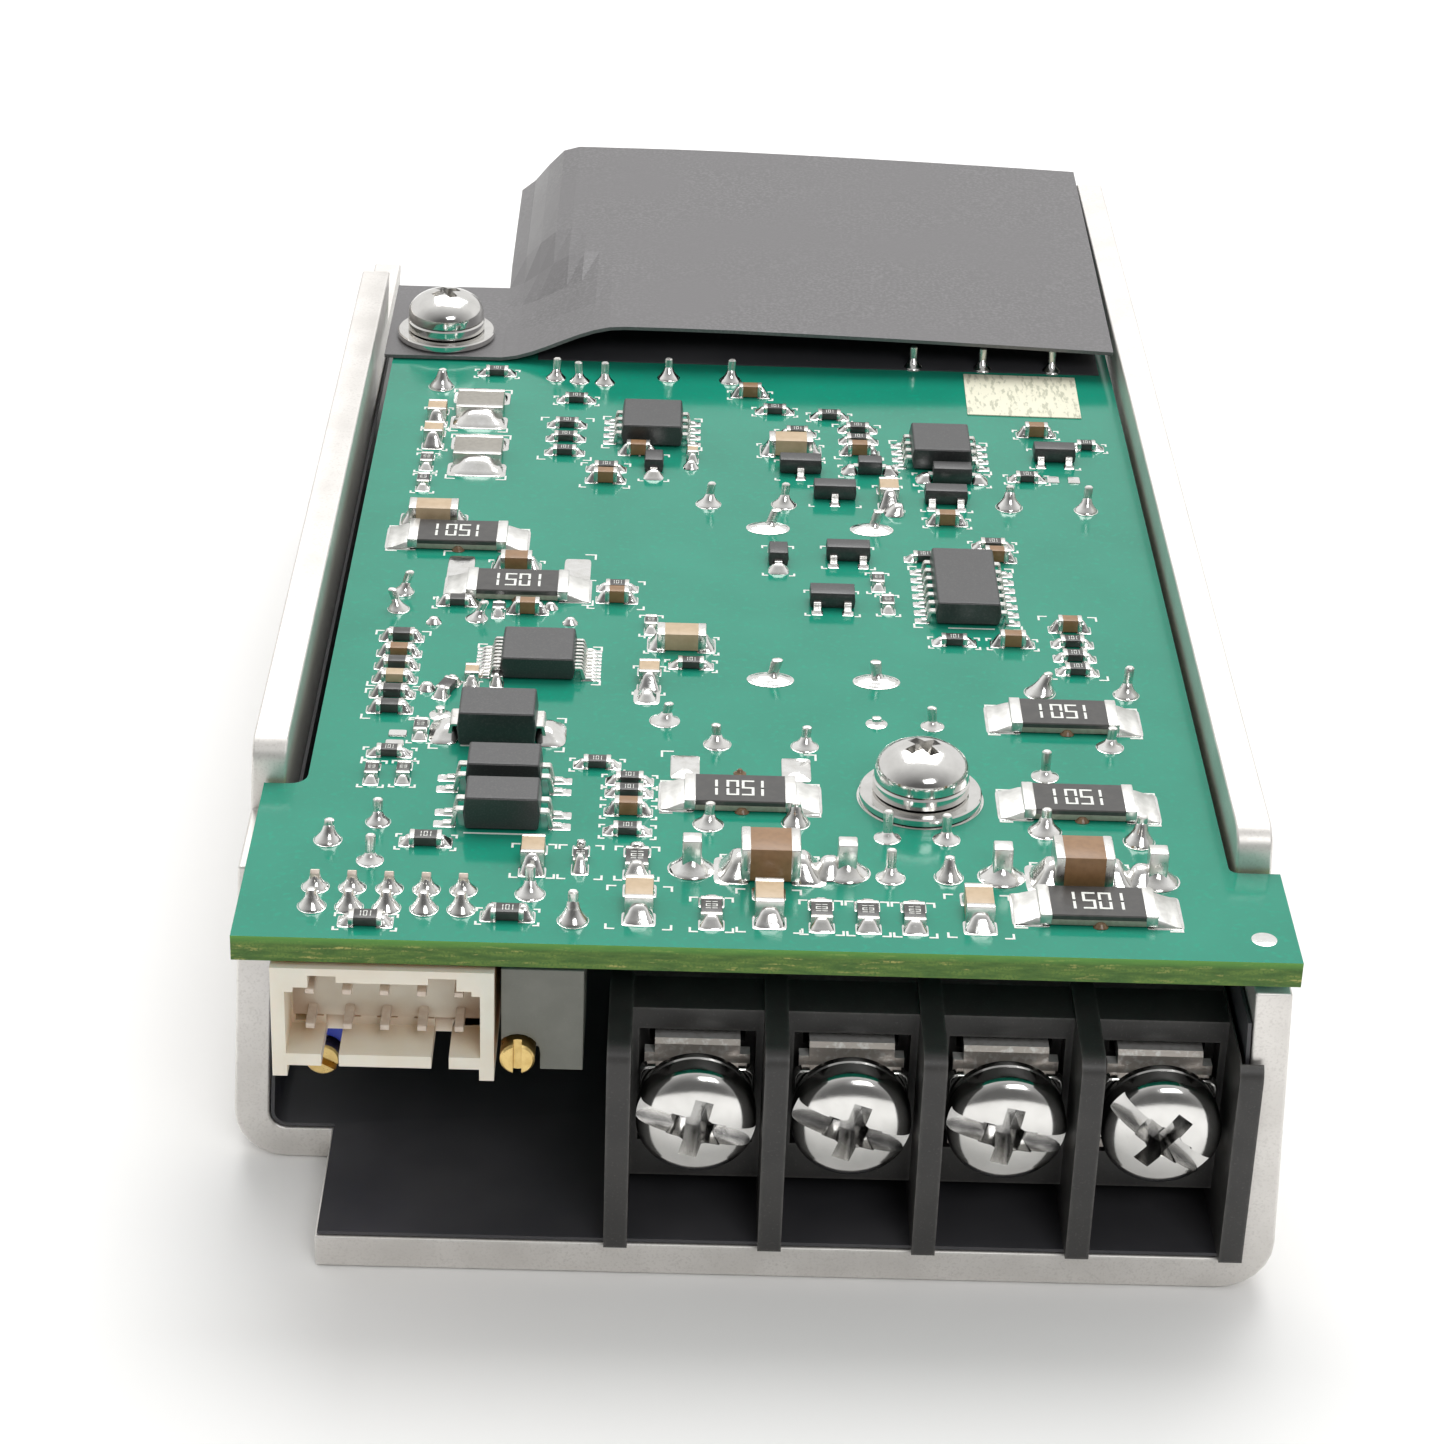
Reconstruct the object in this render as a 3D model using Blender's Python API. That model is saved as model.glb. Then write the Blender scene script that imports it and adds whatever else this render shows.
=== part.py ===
"""Stepper driver module: a circuit board, solder side up, held in a bent aluminium channel.

The frame: +Z up, +X to the right seen from the terminal end, +Y away from that end.
The origin is the centre of the chassis base's underside.
Run with: blender --background --python part.py
"""

import math

import bmesh
import bpy
from mathutils import Matrix, Vector

MM = 0.001

# Chassis: one sheet bent to a channel, whose walls lean in a little.
SHEET = 2.0 * MM
LENGTH = 112.0 * MM
FRONT = -LENGTH / 2
BACK = LENGTH / 2
BASE_HALF_WIDTH = 29.5 * MM
WALL_LEAN = math.radians(2.5)
BEND_RADIUS = 3.0 * MM
WALL_TOP = 23.9 * MM
LOW_WALL_TOP = 19.5 * MM
LEFT_TALL_START = FRONT + 16.7 * MM
LEFT_TALL_END = FRONT + 89.0 * MM
RIGHT_TALL_START = FRONT + 9.5 * MM
CORNER_CUT_X = -23.8 * MM
CORNER_CUT_LENGTH = 10.3 * MM
WALL_CORNER_RADIUS = 1.4 * MM

# Gaps: between pieces that rest on each other, and round pieces that move.
REST_GAP = 0.06 * MM
CLEARANCE = 0.3 * MM

# Insulating film that lines the channel.
LINER = 0.2 * MM
LINER_GAP = 0.08 * MM
LINER_TOP = 17.5 * MM
FLOOR = SHEET + LINER_GAP + LINER

# Circuit board.
BOARD_TOP = 21.45 * MM
BOARD_THICKNESS = 1.5 * MM
BOARD_BOTTOM = BOARD_TOP - BOARD_THICKNESS
BOARD_LEFT = -27.8 * MM
BOARD_RIGHT = 29.0 * MM
BOARD_INNER_LEFT = -25.4 * MM
BOARD_INNER_RIGHT = 26.2 * MM
BOARD_BACK = BACK + 0.6 * MM
BOARD_REAR_STEP = FRONT + 91.5 * MM
BOARD_REAR_LEFT = -17.2 * MM
NOTCH_RADIUS = 1.0 * MM

# Cover film over the back of the board.
FILM = 0.25 * MM
FILM_FRONT = FRONT + 78.2 * MM
FILM_BACK = BOARD_BACK + 0.7 * MM
FILM_TAB_LEFT = -26.0 * MM
FILM_REAR_LEFT = -17.6 * MM
FILM_RIGHT = 26.2 * MM
FILM_LOW = BOARD_TOP + 0.1 * MM
FILM_RISE = 2.3 * MM
FILM_CROWN = 0.35 * MM
FILM_RIGHT_DROP = 0.55 * MM
FILM_FLAP_DEPTH = 6.5 * MM
FILM_BACK_LIFT = 1.2 * MM

# Four-way terminal block.
CELL_PITCH = 8.5 * MM
FIRST_CELL_X = -2.9 * MM
CELLS = 4
BARRIER = 1.3 * MM
BARRIER_FRONT = FRONT - 0.8 * MM
BARRIER_TOP = 15.35 * MM
BARRIER_CORNER = 1.1 * MM
BLOCK_FRONT = FRONT + 3.95 * MM
BLOCK_BACK = FRONT + 11.6 * MM
BLOCK_BOTTOM = 3.95 * MM
BLOCK_TOP = BOARD_BOTTOM - 0.25 * MM
LEDGE_Z = 15.05 * MM
LEDGE_BACK = FRONT + 7.2 * MM
POCKET_BACK = FRONT + 5.6 * MM
WALL_SIDE_LIMIT = 26.3 * MM
POCKET_TOP = 13.7 * MM
SCREW_AXIS_Z = 9.7 * MM

# Terminal contact, clamp plate and screw (M3.5).
CONTACT = 0.8 * MM
CONTACT_FRONT = FRONT + 3.9 * MM
CONTACT_WIDTH = 5.8 * MM
TAB_WIDTH = 4.7 * MM
TAB_TOP = 13.0 * MM
TAB_EDGE = 0.25 * MM
CONTACT_LOW = 6.6 * MM
TAIL_Y = FRONT + 8.1 * MM
TAIL_OFFSET = -0.6 * MM
TAIL = 1.0 * MM
TAIL_TOP = BOARD_TOP + 1.3 * MM
PLATE = 0.7 * MM
PLATE_HALF_WIDTH = 3.15 * MM
PLATE_HALF_HEIGHT = 2.1 * MM
PLATE_CORNER = 0.5 * MM
PLATE_FRONT = FRONT + 3.0 * MM
SHANK_RADIUS = 1.7 * MM
SHANK_LENGTH = 6.6 * MM
HEAD_RADIUS = 3.3 * MM
HEAD_HEIGHT = 2.85 * MM
CAPTIVE_WASHER = (3.2 * MM, 0.55 * MM)
HEAD_NECK = (2.9 * MM, 0.8 * MM)
HEAD_BACK = PLATE_FRONT - 0.1 * MM
SLOT_WIDTH = 1.2 * MM
SLOT_DEPTH = 1.15 * MM
CROSS_LENGTH = 3.76 * MM
CROSS_WIDTH = 0.85 * MM
CROSS_DEPTH = 1.7 * MM
SLOT_ANGLES = (-14, -18, -12, -38)

# Signal connector: five columns of two pins.
PIN_PITCH = 2.0 * MM
PIN_COLUMNS = 5
FIRST_PIN_X = -23.8 * MM
PIN = 0.5 * MM
PIN_TIP_Y = FRONT + 0.9 * MM
FRONT_TAIL_Y = FRONT + 3.2 * MM
REAR_TAIL_Y = FRONT + 5.2 * MM
UPPER_PIN_Z = 17.5 * MM
LOWER_PIN_Z = 15.3 * MM
PIN_TOP = BOARD_TOP + 1.1 * MM
SHELL_LEFT = -25.75 * MM
SHELL_RIGHT = -13.85 * MM
SHELL_FRONT = FRONT - 0.3 * MM
SHELL_BACK = FRONT + 6.6 * MM
SHELL_TOP = BOARD_BOTTOM - 0.25 * MM
SHELL_BOTTOM = 12.85 * MM
SHELL_WALL = 0.75 * MM
SHELL_FLOOR = 13.55 * MM
CAVITY_BACK = FRONT + 2.75 * MM

# Trimmers: a slotted brass screw turns in each body.
GREY_LOW = (-13.5 * MM, FRONT + 0.15 * MM, 13.4 * MM)
GREY_HIGH = (-9.1 * MM, FRONT + 6.8 * MM, BOARD_BOTTOM - 0.25 * MM)
GREY_SCREW = (-12.6 * MM, 14.4 * MM)
BLUE_LOW = (-24.9 * MM, FRONT + 7.3 * MM, 8.4 * MM)
BLUE_HIGH = (-20.1 * MM, FRONT + 12.1 * MM, BOARD_BOTTOM - 0.25 * MM)
BLUE_SCREW = (-23.8 * MM, 9.25 * MM)
GREY_SCREW_RADIUS = 0.95 * MM
BLUE_SCREW_RADIUS = 0.98 * MM
TRIMMER_PROUD = 0.7 * MM
TRIMMER_SOCKET_DEPTH = 2.2 * MM
TRIMMER_SLOT = 0.45 * MM

# Board screws (M3) with their washers and standoffs.
FRONT_SCREW = (9.45 * MM, FRONT + 16.6 * MM)
REAR_SCREW = (-21.8 * MM, FRONT + 82.0 * MM)
SCREW_HOLE_RADIUS = 1.75 * MM
FLAT_WASHER = (3.5 * MM, 0.5 * MM)
SPRING_WASHER = (2.75 * MM, 0.75 * MM)
PAN_RADIUS = 2.7 * MM
PAN_HEIGHT = 2.1 * MM
M3_RADIUS = 1.45 * MM
M3_LENGTH = 9.0 * MM
STANDOFF_FLATS = 5.5 * MM
STANDOFF_BORE = 1.75 * MM
STANDOFF_BORE_DEPTH = 12.0 * MM

# Chips and resistors on the board: centre X, distance from the front edge, size X, size Y, height.
CHIPS = {
    "control_chip": (13.5, 42.3, 4.1, 7.9, 1.5),
    "logic_chip": (-12.9, 31.7, 4.5, 4.2, 1.4),
    "driver_chip_left": (-6.6, 66.4, 4.2, 4.6, 1.5),
    "driver_chip_right": (13.1, 63.7, 4.1, 4.5, 1.5),
    "rectifier_diode": (-14.9, 22.9, 4.6, 3.3, 2.1),
    "optocoupler_1": (-14.2, 16.8, 4.3, 2.6, 2.0),
    "optocoupler_2": (-14.1, 12.9, 4.3, 2.6, 2.0),
}
POWER_RESISTORS = ((-18.85, 48.7), (-14.65, 41.75), (18.4, 26.2), (-0.8, 16.0), (18.4, 16.0), (18.4, 4.7))
RESISTOR_SIZE = (6.3 * MM, 3.1 * MM, 0.6 * MM)
SOLDER_FILM = 0.1 * MM

# Parts below the board: bulk capacitors (centre X, distance from the front edge), transformer, power stage.
BULK_CAPACITORS = ((0.5, 23.2), (0.0, 57.0), (19.8, 57.0))
CAPACITOR_RADIUS = 5.0 * MM
CAPACITOR_HEIGHT = 15.5 * MM
TRANSFORMER_CENTRE = (4.6 * MM, FRONT + 41.1 * MM)
TRANSFORMER_SIZE = (14.0 * MM, 19.0 * MM, 15.0 * MM)
POWER_STAGE_LOW = (-13.0 * MM, FRONT + 66.0 * MM)
POWER_STAGE_HIGH = (23.0 * MM, FRONT + 104.0 * MM)
POWER_STAGE_HEIGHT = 9.0 * MM
THERMAL_PAD = 0.5 * MM


def clear_scene():
    for obj in list(bpy.data.objects):
        bpy.data.objects.remove(obj)


def material(name, colour, roughness, metallic=0.0):
    made = bpy.data.materials.new(name)
    made.use_nodes = True
    shader = made.node_tree.nodes["Principled BSDF"]
    shader.inputs["Base Color"].default_value = (*colour, 1.0)
    shader.inputs["Roughness"].default_value = roughness
    shader.inputs["Metallic"].default_value = metallic
    return made


def make_materials():
    return {
        "aluminium": material("aluminium", (0.72, 0.72, 0.71), 0.45, 1.0),
        "black_film": material("black_film", (0.03, 0.03, 0.035), 0.45),
        "cover_film": material("cover_film", (0.07, 0.07, 0.075), 0.4),
        "board": material("board", (0.02, 0.24, 0.13), 0.25),
        "black_plastic": material("black_plastic", (0.03, 0.03, 0.03), 0.45),
        "ivory_plastic": material("ivory_plastic", (0.80, 0.74, 0.62), 0.4),
        "nickel": material("nickel", (0.75, 0.75, 0.76), 0.22, 1.0),
        "brass": material("brass", (0.75, 0.55, 0.22), 0.35, 1.0),
        "grey_plastic": material("grey_plastic", (0.17, 0.175, 0.17), 0.5),
        "blue_plastic": material("blue_plastic", (0.02, 0.04, 0.40), 0.4),
        "chip_black": material("chip_black", (0.02, 0.02, 0.022), 0.45),
        "resistor": material("resistor", (0.05, 0.045, 0.045), 0.4),
        "capacitor_sleeve": material("capacitor_sleeve", (0.02, 0.02, 0.03), 0.35),
        "ferrite": material("ferrite", (0.04, 0.04, 0.045), 0.6),
        "thermal_rubber": material("thermal_rubber", (0.35, 0.36, 0.38), 0.8),
    }


def finish_object(name, mesh_in_work, finish, smooth=False):
    """Turn a bmesh into a named object with one material."""
    bmesh.ops.recalc_face_normals(mesh_in_work, faces=mesh_in_work.faces)
    mesh = bpy.data.meshes.new(name)
    mesh_in_work.to_mesh(mesh)
    mesh_in_work.free()
    mesh.materials.append(finish)
    obj = bpy.data.objects.new(name, mesh)
    bpy.context.scene.collection.objects.link(obj)
    if smooth:
        mesh.shade_smooth()
        mesh.set_sharp_from_angle(angle=math.radians(35))
    return obj


def helper(obj):
    """Mark a cutter or an added shape, which isn't a piece of its own."""
    obj.hide_render = True
    obj.display_type = "WIRE"
    return obj


def combine(target, other, operation):
    modifier = target.modifiers.new(operation.lower(), "BOOLEAN")
    modifier.operation = operation
    modifier.solver = "EXACT"
    modifier.object = helper(other)


def cut(target, cutter):
    combine(target, cutter, "DIFFERENCE")


def join(target, addition):
    combine(target, addition, "UNION")


def bevelled(obj, width, segments=1):
    modifier = obj.modifiers.new("edge", "BEVEL")
    modifier.width = width
    modifier.segments = segments
    modifier.limit_method = "ANGLE"
    modifier.angle_limit = math.radians(40)
    return obj


def box(name, low, high, finish):
    work = bmesh.new()
    bmesh.ops.create_cube(work, size=1.0)
    size = [high[i] - low[i] for i in range(3)]
    middle = [(high[i] + low[i]) / 2 for i in range(3)]
    bmesh.ops.scale(work, vec=size, verts=work.verts)
    bmesh.ops.translate(work, vec=middle, verts=work.verts)
    return finish_object(name, work, finish)


def prism(name, outline, axis, start, end, finish):
    """Extrude a closed outline along an axis. The outline gives the other two coordinates in order."""
    index = "XYZ".index(axis)

    def place(point, along):
        coordinates = list(point)
        coordinates.insert(index, along)
        return coordinates

    work = bmesh.new()
    verts = [work.verts.new(place(point, start)) for point in outline]
    face = work.faces.new(verts)
    swept = bmesh.ops.extrude_face_region(work, geom=[face])
    offset = Vector((0, 0, 0))
    offset[index] = end - start
    moved = [item for item in swept["geom"] if isinstance(item, bmesh.types.BMVert)]
    bmesh.ops.translate(work, vec=offset, verts=moved)
    return finish_object(name, work, finish)


def turned(name, profile, segments, finish, place):
    """Turn a profile of (radius, height) points about local Z, then put it in place with a matrix.

    A profile whose ends have radius 0 is closed by its poles; any other profile is a closed ring section.
    """
    work = bmesh.new()
    rings = []
    for radius, height in profile:
        if radius == 0:
            rings.append([work.verts.new((0, 0, height))])
            continue
        angles = [2 * math.pi * k / segments for k in range(segments)]
        rings.append([work.verts.new((radius * math.cos(a), radius * math.sin(a), height)) for a in angles])
    pairs = list(zip(rings, rings[1:]))
    if profile[0][0] != 0:
        pairs.append((rings[-1], rings[0]))
    for low, high in pairs:
        for k in range(segments):
            after = (k + 1) % segments
            corners = [low[k % len(low)], low[after % len(low)], high[after % len(high)], high[k % len(high)]]
            work.faces.new(list(dict.fromkeys(corners)))
    bmesh.ops.transform(work, matrix=place, verts=work.verts)
    return finish_object(name, work, finish, smooth=True)


def upright(x, y, z):
    return Matrix.Translation((x, y, z))


def facing_front(x, y, z):
    """Local Z points out of the terminal end, along -Y."""
    return Matrix.Translation((x, y, z)) @ Matrix.Rotation(math.pi / 2, 4, "X")


def arc(centre, radius, start, end, steps):
    """Points along an arc, with the angles in degrees."""
    angles = [math.radians(start + (end - start) * k / steps) for k in range(steps + 1)]
    return [(centre[0] + radius * math.cos(a), centre[1] + radius * math.sin(a)) for a in angles]


def channel_outline(depth, thickness, top):
    """Section (x, z) of a channel whose outer face lies `depth` inside the chassis' outer face."""
    slope = math.tan(WALL_LEAN)
    centre = (BASE_HALF_WIDTH - BEND_RADIUS * slope - BEND_RADIUS / math.cos(WALL_LEAN), BEND_RADIUS)

    def wall_top(inset):
        return (BASE_HALF_WIDTH - top * slope - inset / math.cos(WALL_LEAN), top)

    lean = math.degrees(WALL_LEAN)
    outer = arc(centre, BEND_RADIUS - depth, -90, lean, 6) + [wall_top(depth)]
    inset = depth + thickness
    inner = [wall_top(inset)] + arc(centre, BEND_RADIUS - inset, lean, -90, 4)
    right = outer + inner
    left = [(-x, z) for x, z in reversed(right)]
    return right + left


def front_of_wall_cutter(name, side, start, low_top, finish):
    """Clears a wall above its low part, leaving a rounded corner on the tall part."""
    near = 20 * MM * side
    far = 40 * MM * side
    radius = WALL_CORNER_RADIUS
    rounding = arc((start + radius, WALL_TOP - radius), radius, 180, 90, 4)
    top = WALL_TOP + 5 * MM
    outline = [(FRONT - 5 * MM, low_top), (start, low_top), *rounding]
    outline += [(start + radius, top), (FRONT - 5 * MM, top)]
    return prism(name, outline, "X", min(near, far), max(near, far), finish)


def cut_corners(target, finish, label, low_top):
    """Clears the base's corners at the left, and the low parts of both walls."""
    outside = -40 * MM
    over = 5 * MM
    front_corner = CORNER_CUT_LENGTH + over
    high = WALL_TOP + over
    cut(target, box(label + "_front_corner", (outside, FRONT - over, -over),
                    (CORNER_CUT_X, FRONT - over + front_corner, high), finish))
    cut(target, box(label + "_back_corner", (outside, BACK + over - front_corner, -over),
                    (CORNER_CUT_X, BACK + over, high), finish))
    cut(target, front_of_wall_cutter(label + "_left_low", -1, LEFT_TALL_START, low_top, finish))
    cut(target, front_of_wall_cutter(label + "_right_low", 1, RIGHT_TALL_START, low_top, finish))
    cut(target, box(label + "_left_back_low", (outside, LEFT_TALL_END, low_top),
                    (-20 * MM, BACK + over, high), finish))


def make_chassis(finishes):
    finish = finishes["aluminium"]
    outline = channel_outline(0, SHEET, WALL_TOP)
    chassis = prism("chassis", outline, "Y", FRONT, BACK, finish)
    cut_corners(chassis, finish, "chassis_cut", LOW_WALL_TOP)
    return chassis


def make_liner(finishes):
    finish = finishes["black_film"]
    outline = channel_outline(SHEET + LINER_GAP, LINER, LINER_TOP)
    inset = 0.15 * MM
    liner = prism("base_insulation_film", outline, "Y", FRONT + inset, BACK - inset, finish)
    over = 5 * MM
    edge = CORNER_CUT_X + inset
    length = CORNER_CUT_LENGTH + inset
    cut(liner, box("liner_cut_front", (-40 * MM, FRONT - over, -over), (edge, FRONT + length, WALL_TOP), finish))
    cut(liner, box("liner_cut_back", (-40 * MM, BACK - length, -over), (edge, BACK + over, WALL_TOP), finish))
    for label, (x, y) in (("front", FRONT_SCREW), ("rear", REAR_SCREW)):
        hole = [(0, -2 * MM), (4 * MM, -2 * MM), (4 * MM, 2 * MM), (0, 2 * MM)]
        cut(liner, turned("liner_hole_" + label, hole, 16, finish, upright(x, y, FLOOR)))
    return liner


def board_outline():
    """Outline (x, y) of the board, counter-clockwise from the front left corner."""
    radius = NOTCH_RADIUS
    left_step = LEFT_TALL_START - CLEARANCE
    right_step = RIGHT_TALL_START - CLEARANCE
    right_corner = arc((BOARD_INNER_RIGHT + radius / 2, right_step + radius / 2), radius / 2, 270, 180, 3)
    left_corner = arc((BOARD_INNER_LEFT - radius, left_step + radius), radius, 0, -90, 5)
    return [
        (BOARD_LEFT, FRONT),
        (BOARD_RIGHT, FRONT),
        (BOARD_RIGHT, right_step),
        *right_corner,
        (BOARD_INNER_RIGHT, BOARD_BACK),
        (BOARD_REAR_LEFT, BOARD_BACK),
        (BOARD_REAR_LEFT, BOARD_REAR_STEP),
        (BOARD_INNER_LEFT, BOARD_REAR_STEP),
        *left_corner,
        (BOARD_LEFT, left_step),
    ]


def pin_columns():
    return [FIRST_PIN_X + k * PIN_PITCH for k in range(PIN_COLUMNS)]


def cell_centres():
    return [FIRST_CELL_X + k * CELL_PITCH for k in range(CELLS)]


def drill(board, name, x, y, radius, segments, finish):
    rod = [(0, -2 * MM), (radius, -2 * MM), (radius, 2 * MM), (0, 2 * MM)]
    cut(board, turned(name, rod, segments, finish, upright(x, y, BOARD_TOP - BOARD_THICKNESS / 2)))


def make_board(finishes):
    finish = finishes["board"]
    board = prism("circuit_board", board_outline(), "Z", BOARD_BOTTOM, BOARD_TOP, finish)
    for label, (x, y) in (("front", FRONT_SCREW), ("rear", REAR_SCREW)):
        drill(board, "board_hole_" + label, x, y, SCREW_HOLE_RADIUS, 20, finish)
    for k, x in enumerate(pin_columns()):
        drill(board, f"board_pin_hole_front_{k + 1}", x, FRONT_TAIL_Y, 0.55 * MM, 8, finish)
        drill(board, f"board_pin_hole_rear_{k + 1}", x, REAR_TAIL_Y, 0.55 * MM, 8, finish)
    for k, x in enumerate(cell_centres()):
        drill(board, f"board_tail_hole_{k + 1}", x + TAIL_OFFSET, TAIL_Y, 0.95 * MM, 10, finish)
    return board


def smoothstep(low, high, value):
    t = min(1.0, max(0.0, (value - low) / (high - low)))
    return t * t * (3 - 2 * t)


def film_height(x, y):
    """Underside height of the cover film: flat at the tab, an S up to a low crown, climbing to the back."""
    steepness = smoothstep(FRONT + 84 * MM, FRONT + 96 * MM, y)
    rise_end = (-9.0 - 4.5 * steepness) * MM
    lifted = smoothstep(-18.0 * MM, rise_end, x)
    across = (x + 3.5 * MM) / (FILM_RIGHT + 3.5 * MM)
    crown = FILM_CROWN * (1 - min(1.0, across * across)) if x > -3.5 * MM else FILM_CROWN
    droop = FILM_RIGHT_DROP * max(0.0, across)
    climb = FILM_BACK_LIFT * (y - FILM_FRONT) / (FILM_BACK - FILM_FRONT)
    return FILM_LOW + lifted * (FILM_RISE + crown - droop + climb)


def film_columns():
    tab = [FILM_TAB_LEFT, -22.0 * MM]
    bend = [FILM_REAR_LEFT + k * 1.1 * MM for k in range(9)]
    top = [-5.5 * MM, -1.0 * MM, 4.0 * MM, 9.0 * MM, 14.0 * MM, 19.0 * MM, 23.0 * MM, FILM_RIGHT]
    return tab + bend + top


def film_rows():
    """Distances of the film's rows from the front edge, with the last rows round its back fold."""
    rows = [FILM_FRONT, FRONT + 83 * MM, FRONT + 87.5 * MM, BOARD_REAR_STEP]
    rows += [FRONT + 96 * MM, FRONT + 102 * MM, FRONT + 108 * MM, FILM_BACK - 0.8 * MM]
    return rows


def make_cover_film(finishes):
    """A sheet of film laid over the solder tails, folded down behind the board."""
    work = bmesh.new()
    columns = film_columns()
    rows = film_rows()
    grid = {}
    for j, y in enumerate(rows):
        for i, x in enumerate(columns):
            if x < FILM_REAR_LEFT and y > BOARD_REAR_STEP:
                continue
            grid[i, j] = work.verts.new((x, y, film_height(x, y)))
    folds = ((0.55 * MM, 0.25 * MM), (0.8 * MM, 0.8 * MM), (0.8 * MM, FILM_FLAP_DEPTH))
    for k, (out, down) in enumerate(folds):
        j = len(rows) + k
        for i, x in enumerate(columns):
            if (i, j - 1) in grid:
                level = film_height(x, rows[-1])
                grid[i, j] = work.verts.new((x, rows[-1] + out, level - down))
    for i, j in list(grid):
        corners = [(i, j), (i + 1, j), (i + 1, j + 1), (i, j + 1)]
        if all(corner in grid for corner in corners):
            work.faces.new([grid[corner] for corner in corners])
    film = finish_object("cover_film", work, finishes["cover_film"], smooth=True)
    thickness = film.modifiers.new("thickness", "SOLIDIFY")
    thickness.thickness = FILM
    thickness.offset = 1.0
    x, y = REAR_SCREW
    rod = [(0, -2 * MM), (1.7 * MM, -2 * MM), (1.7 * MM, 2 * MM), (0, 2 * MM)]
    cut(film, turned("film_hole", rod, 16, finishes["cover_film"], upright(x, y, FILM_LOW)))
    return film


def barrier_outline():
    """Side view (y, z) of a barrier: a level top under the board, a rounded corner, a straight front."""
    radius = BARRIER_CORNER
    corner = arc((BARRIER_FRONT + radius, BARRIER_TOP - radius), radius, 90, 180, 5)
    rise = LEDGE_BACK + 0.1 * MM
    return [
        (BLOCK_BACK, FLOOR + REST_GAP),
        (BLOCK_BACK, BLOCK_TOP),
        (rise, BLOCK_TOP),
        (rise, BARRIER_TOP),
        *corner,
        (BARRIER_FRONT, FLOOR + REST_GAP),
    ]


def make_terminal_housing(finishes):
    """Five barriers joined by a block with a ledge, a pocket and a screw bore in each cell."""
    finish = finishes["black_plastic"]
    left = FIRST_CELL_X - CELL_PITCH / 2
    right = left + CELLS * CELL_PITCH
    inset = 0.02 * MM
    housing = box("terminal_housing", (left, BLOCK_FRONT, BLOCK_BOTTOM),
                  (right, BLOCK_BACK - inset, LEDGE_Z), finish)
    join(housing, box("housing_upper", (left, LEDGE_BACK, LEDGE_Z - MM),
                      (right, BLOCK_BACK - 2 * inset, BLOCK_TOP - inset), finish))
    join(housing, box("housing_skirt", (left, BLOCK_BACK - 1.2 * MM, FLOOR + 2 * REST_GAP),
                      (right, BLOCK_BACK - 3 * inset, BLOCK_BOTTOM + MM), finish))
    for k in range(CELLS + 1):
        x = left + k * CELL_PITCH
        name = f"housing_barrier_{k + 1}"
        join(housing, prism(name, barrier_outline(), "X", x - BARRIER / 2, x + BARRIER / 2, finish))
    for k, x in enumerate(cell_centres()):
        cut_cell(housing, k + 1, x, finish)
    cut(housing, box("housing_side_relief", (WALL_SIDE_LIMIT, FRONT - CLEARANCE, 0),
                     (right + 5 * MM, BLOCK_BACK + MM, BOARD_TOP), finish))
    return housing


def cut_cell(housing, number, x, finish):
    """Room for one contact: its pocket, the channel for its tab, the well for its tail, the screw's bore."""
    half = CONTACT_WIDTH / 2 + CLEARANCE
    cut(housing, box(f"housing_pocket_{number}", (x - half, BLOCK_FRONT - MM, CONTACT_LOW - CLEARANCE),
                     (x + half, POCKET_BACK, POCKET_TOP), finish))
    half = TAB_WIDTH / 2 + CLEARANCE
    channel_low = TAB_TOP - CONTACT - CLEARANCE
    cut(housing, box(f"housing_channel_{number}", (x - half, BLOCK_FRONT - MM / 2, channel_low),
                     (x + half, TAIL_Y + TAIL / 2 + CLEARANCE, TAB_TOP + CLEARANCE), finish))
    half = TAIL / 2 + CLEARANCE
    tail_x = x + TAIL_OFFSET
    cut(housing, box(f"housing_well_{number}", (tail_x - half, TAIL_Y - half, channel_low),
                     (tail_x + half, TAIL_Y + half, BLOCK_TOP + MM), finish))
    depth = 5.2 * MM
    radius = SHANK_RADIUS + CLEARANCE
    bore = [(0, 0), (radius, 0), (radius, depth + MM), (0, depth + MM)]
    place = facing_front(x, POCKET_BACK + depth, SCREW_AXIS_Z)
    cut(housing, turned(f"housing_bore_{number}", bore, 12, finish, place))


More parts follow.
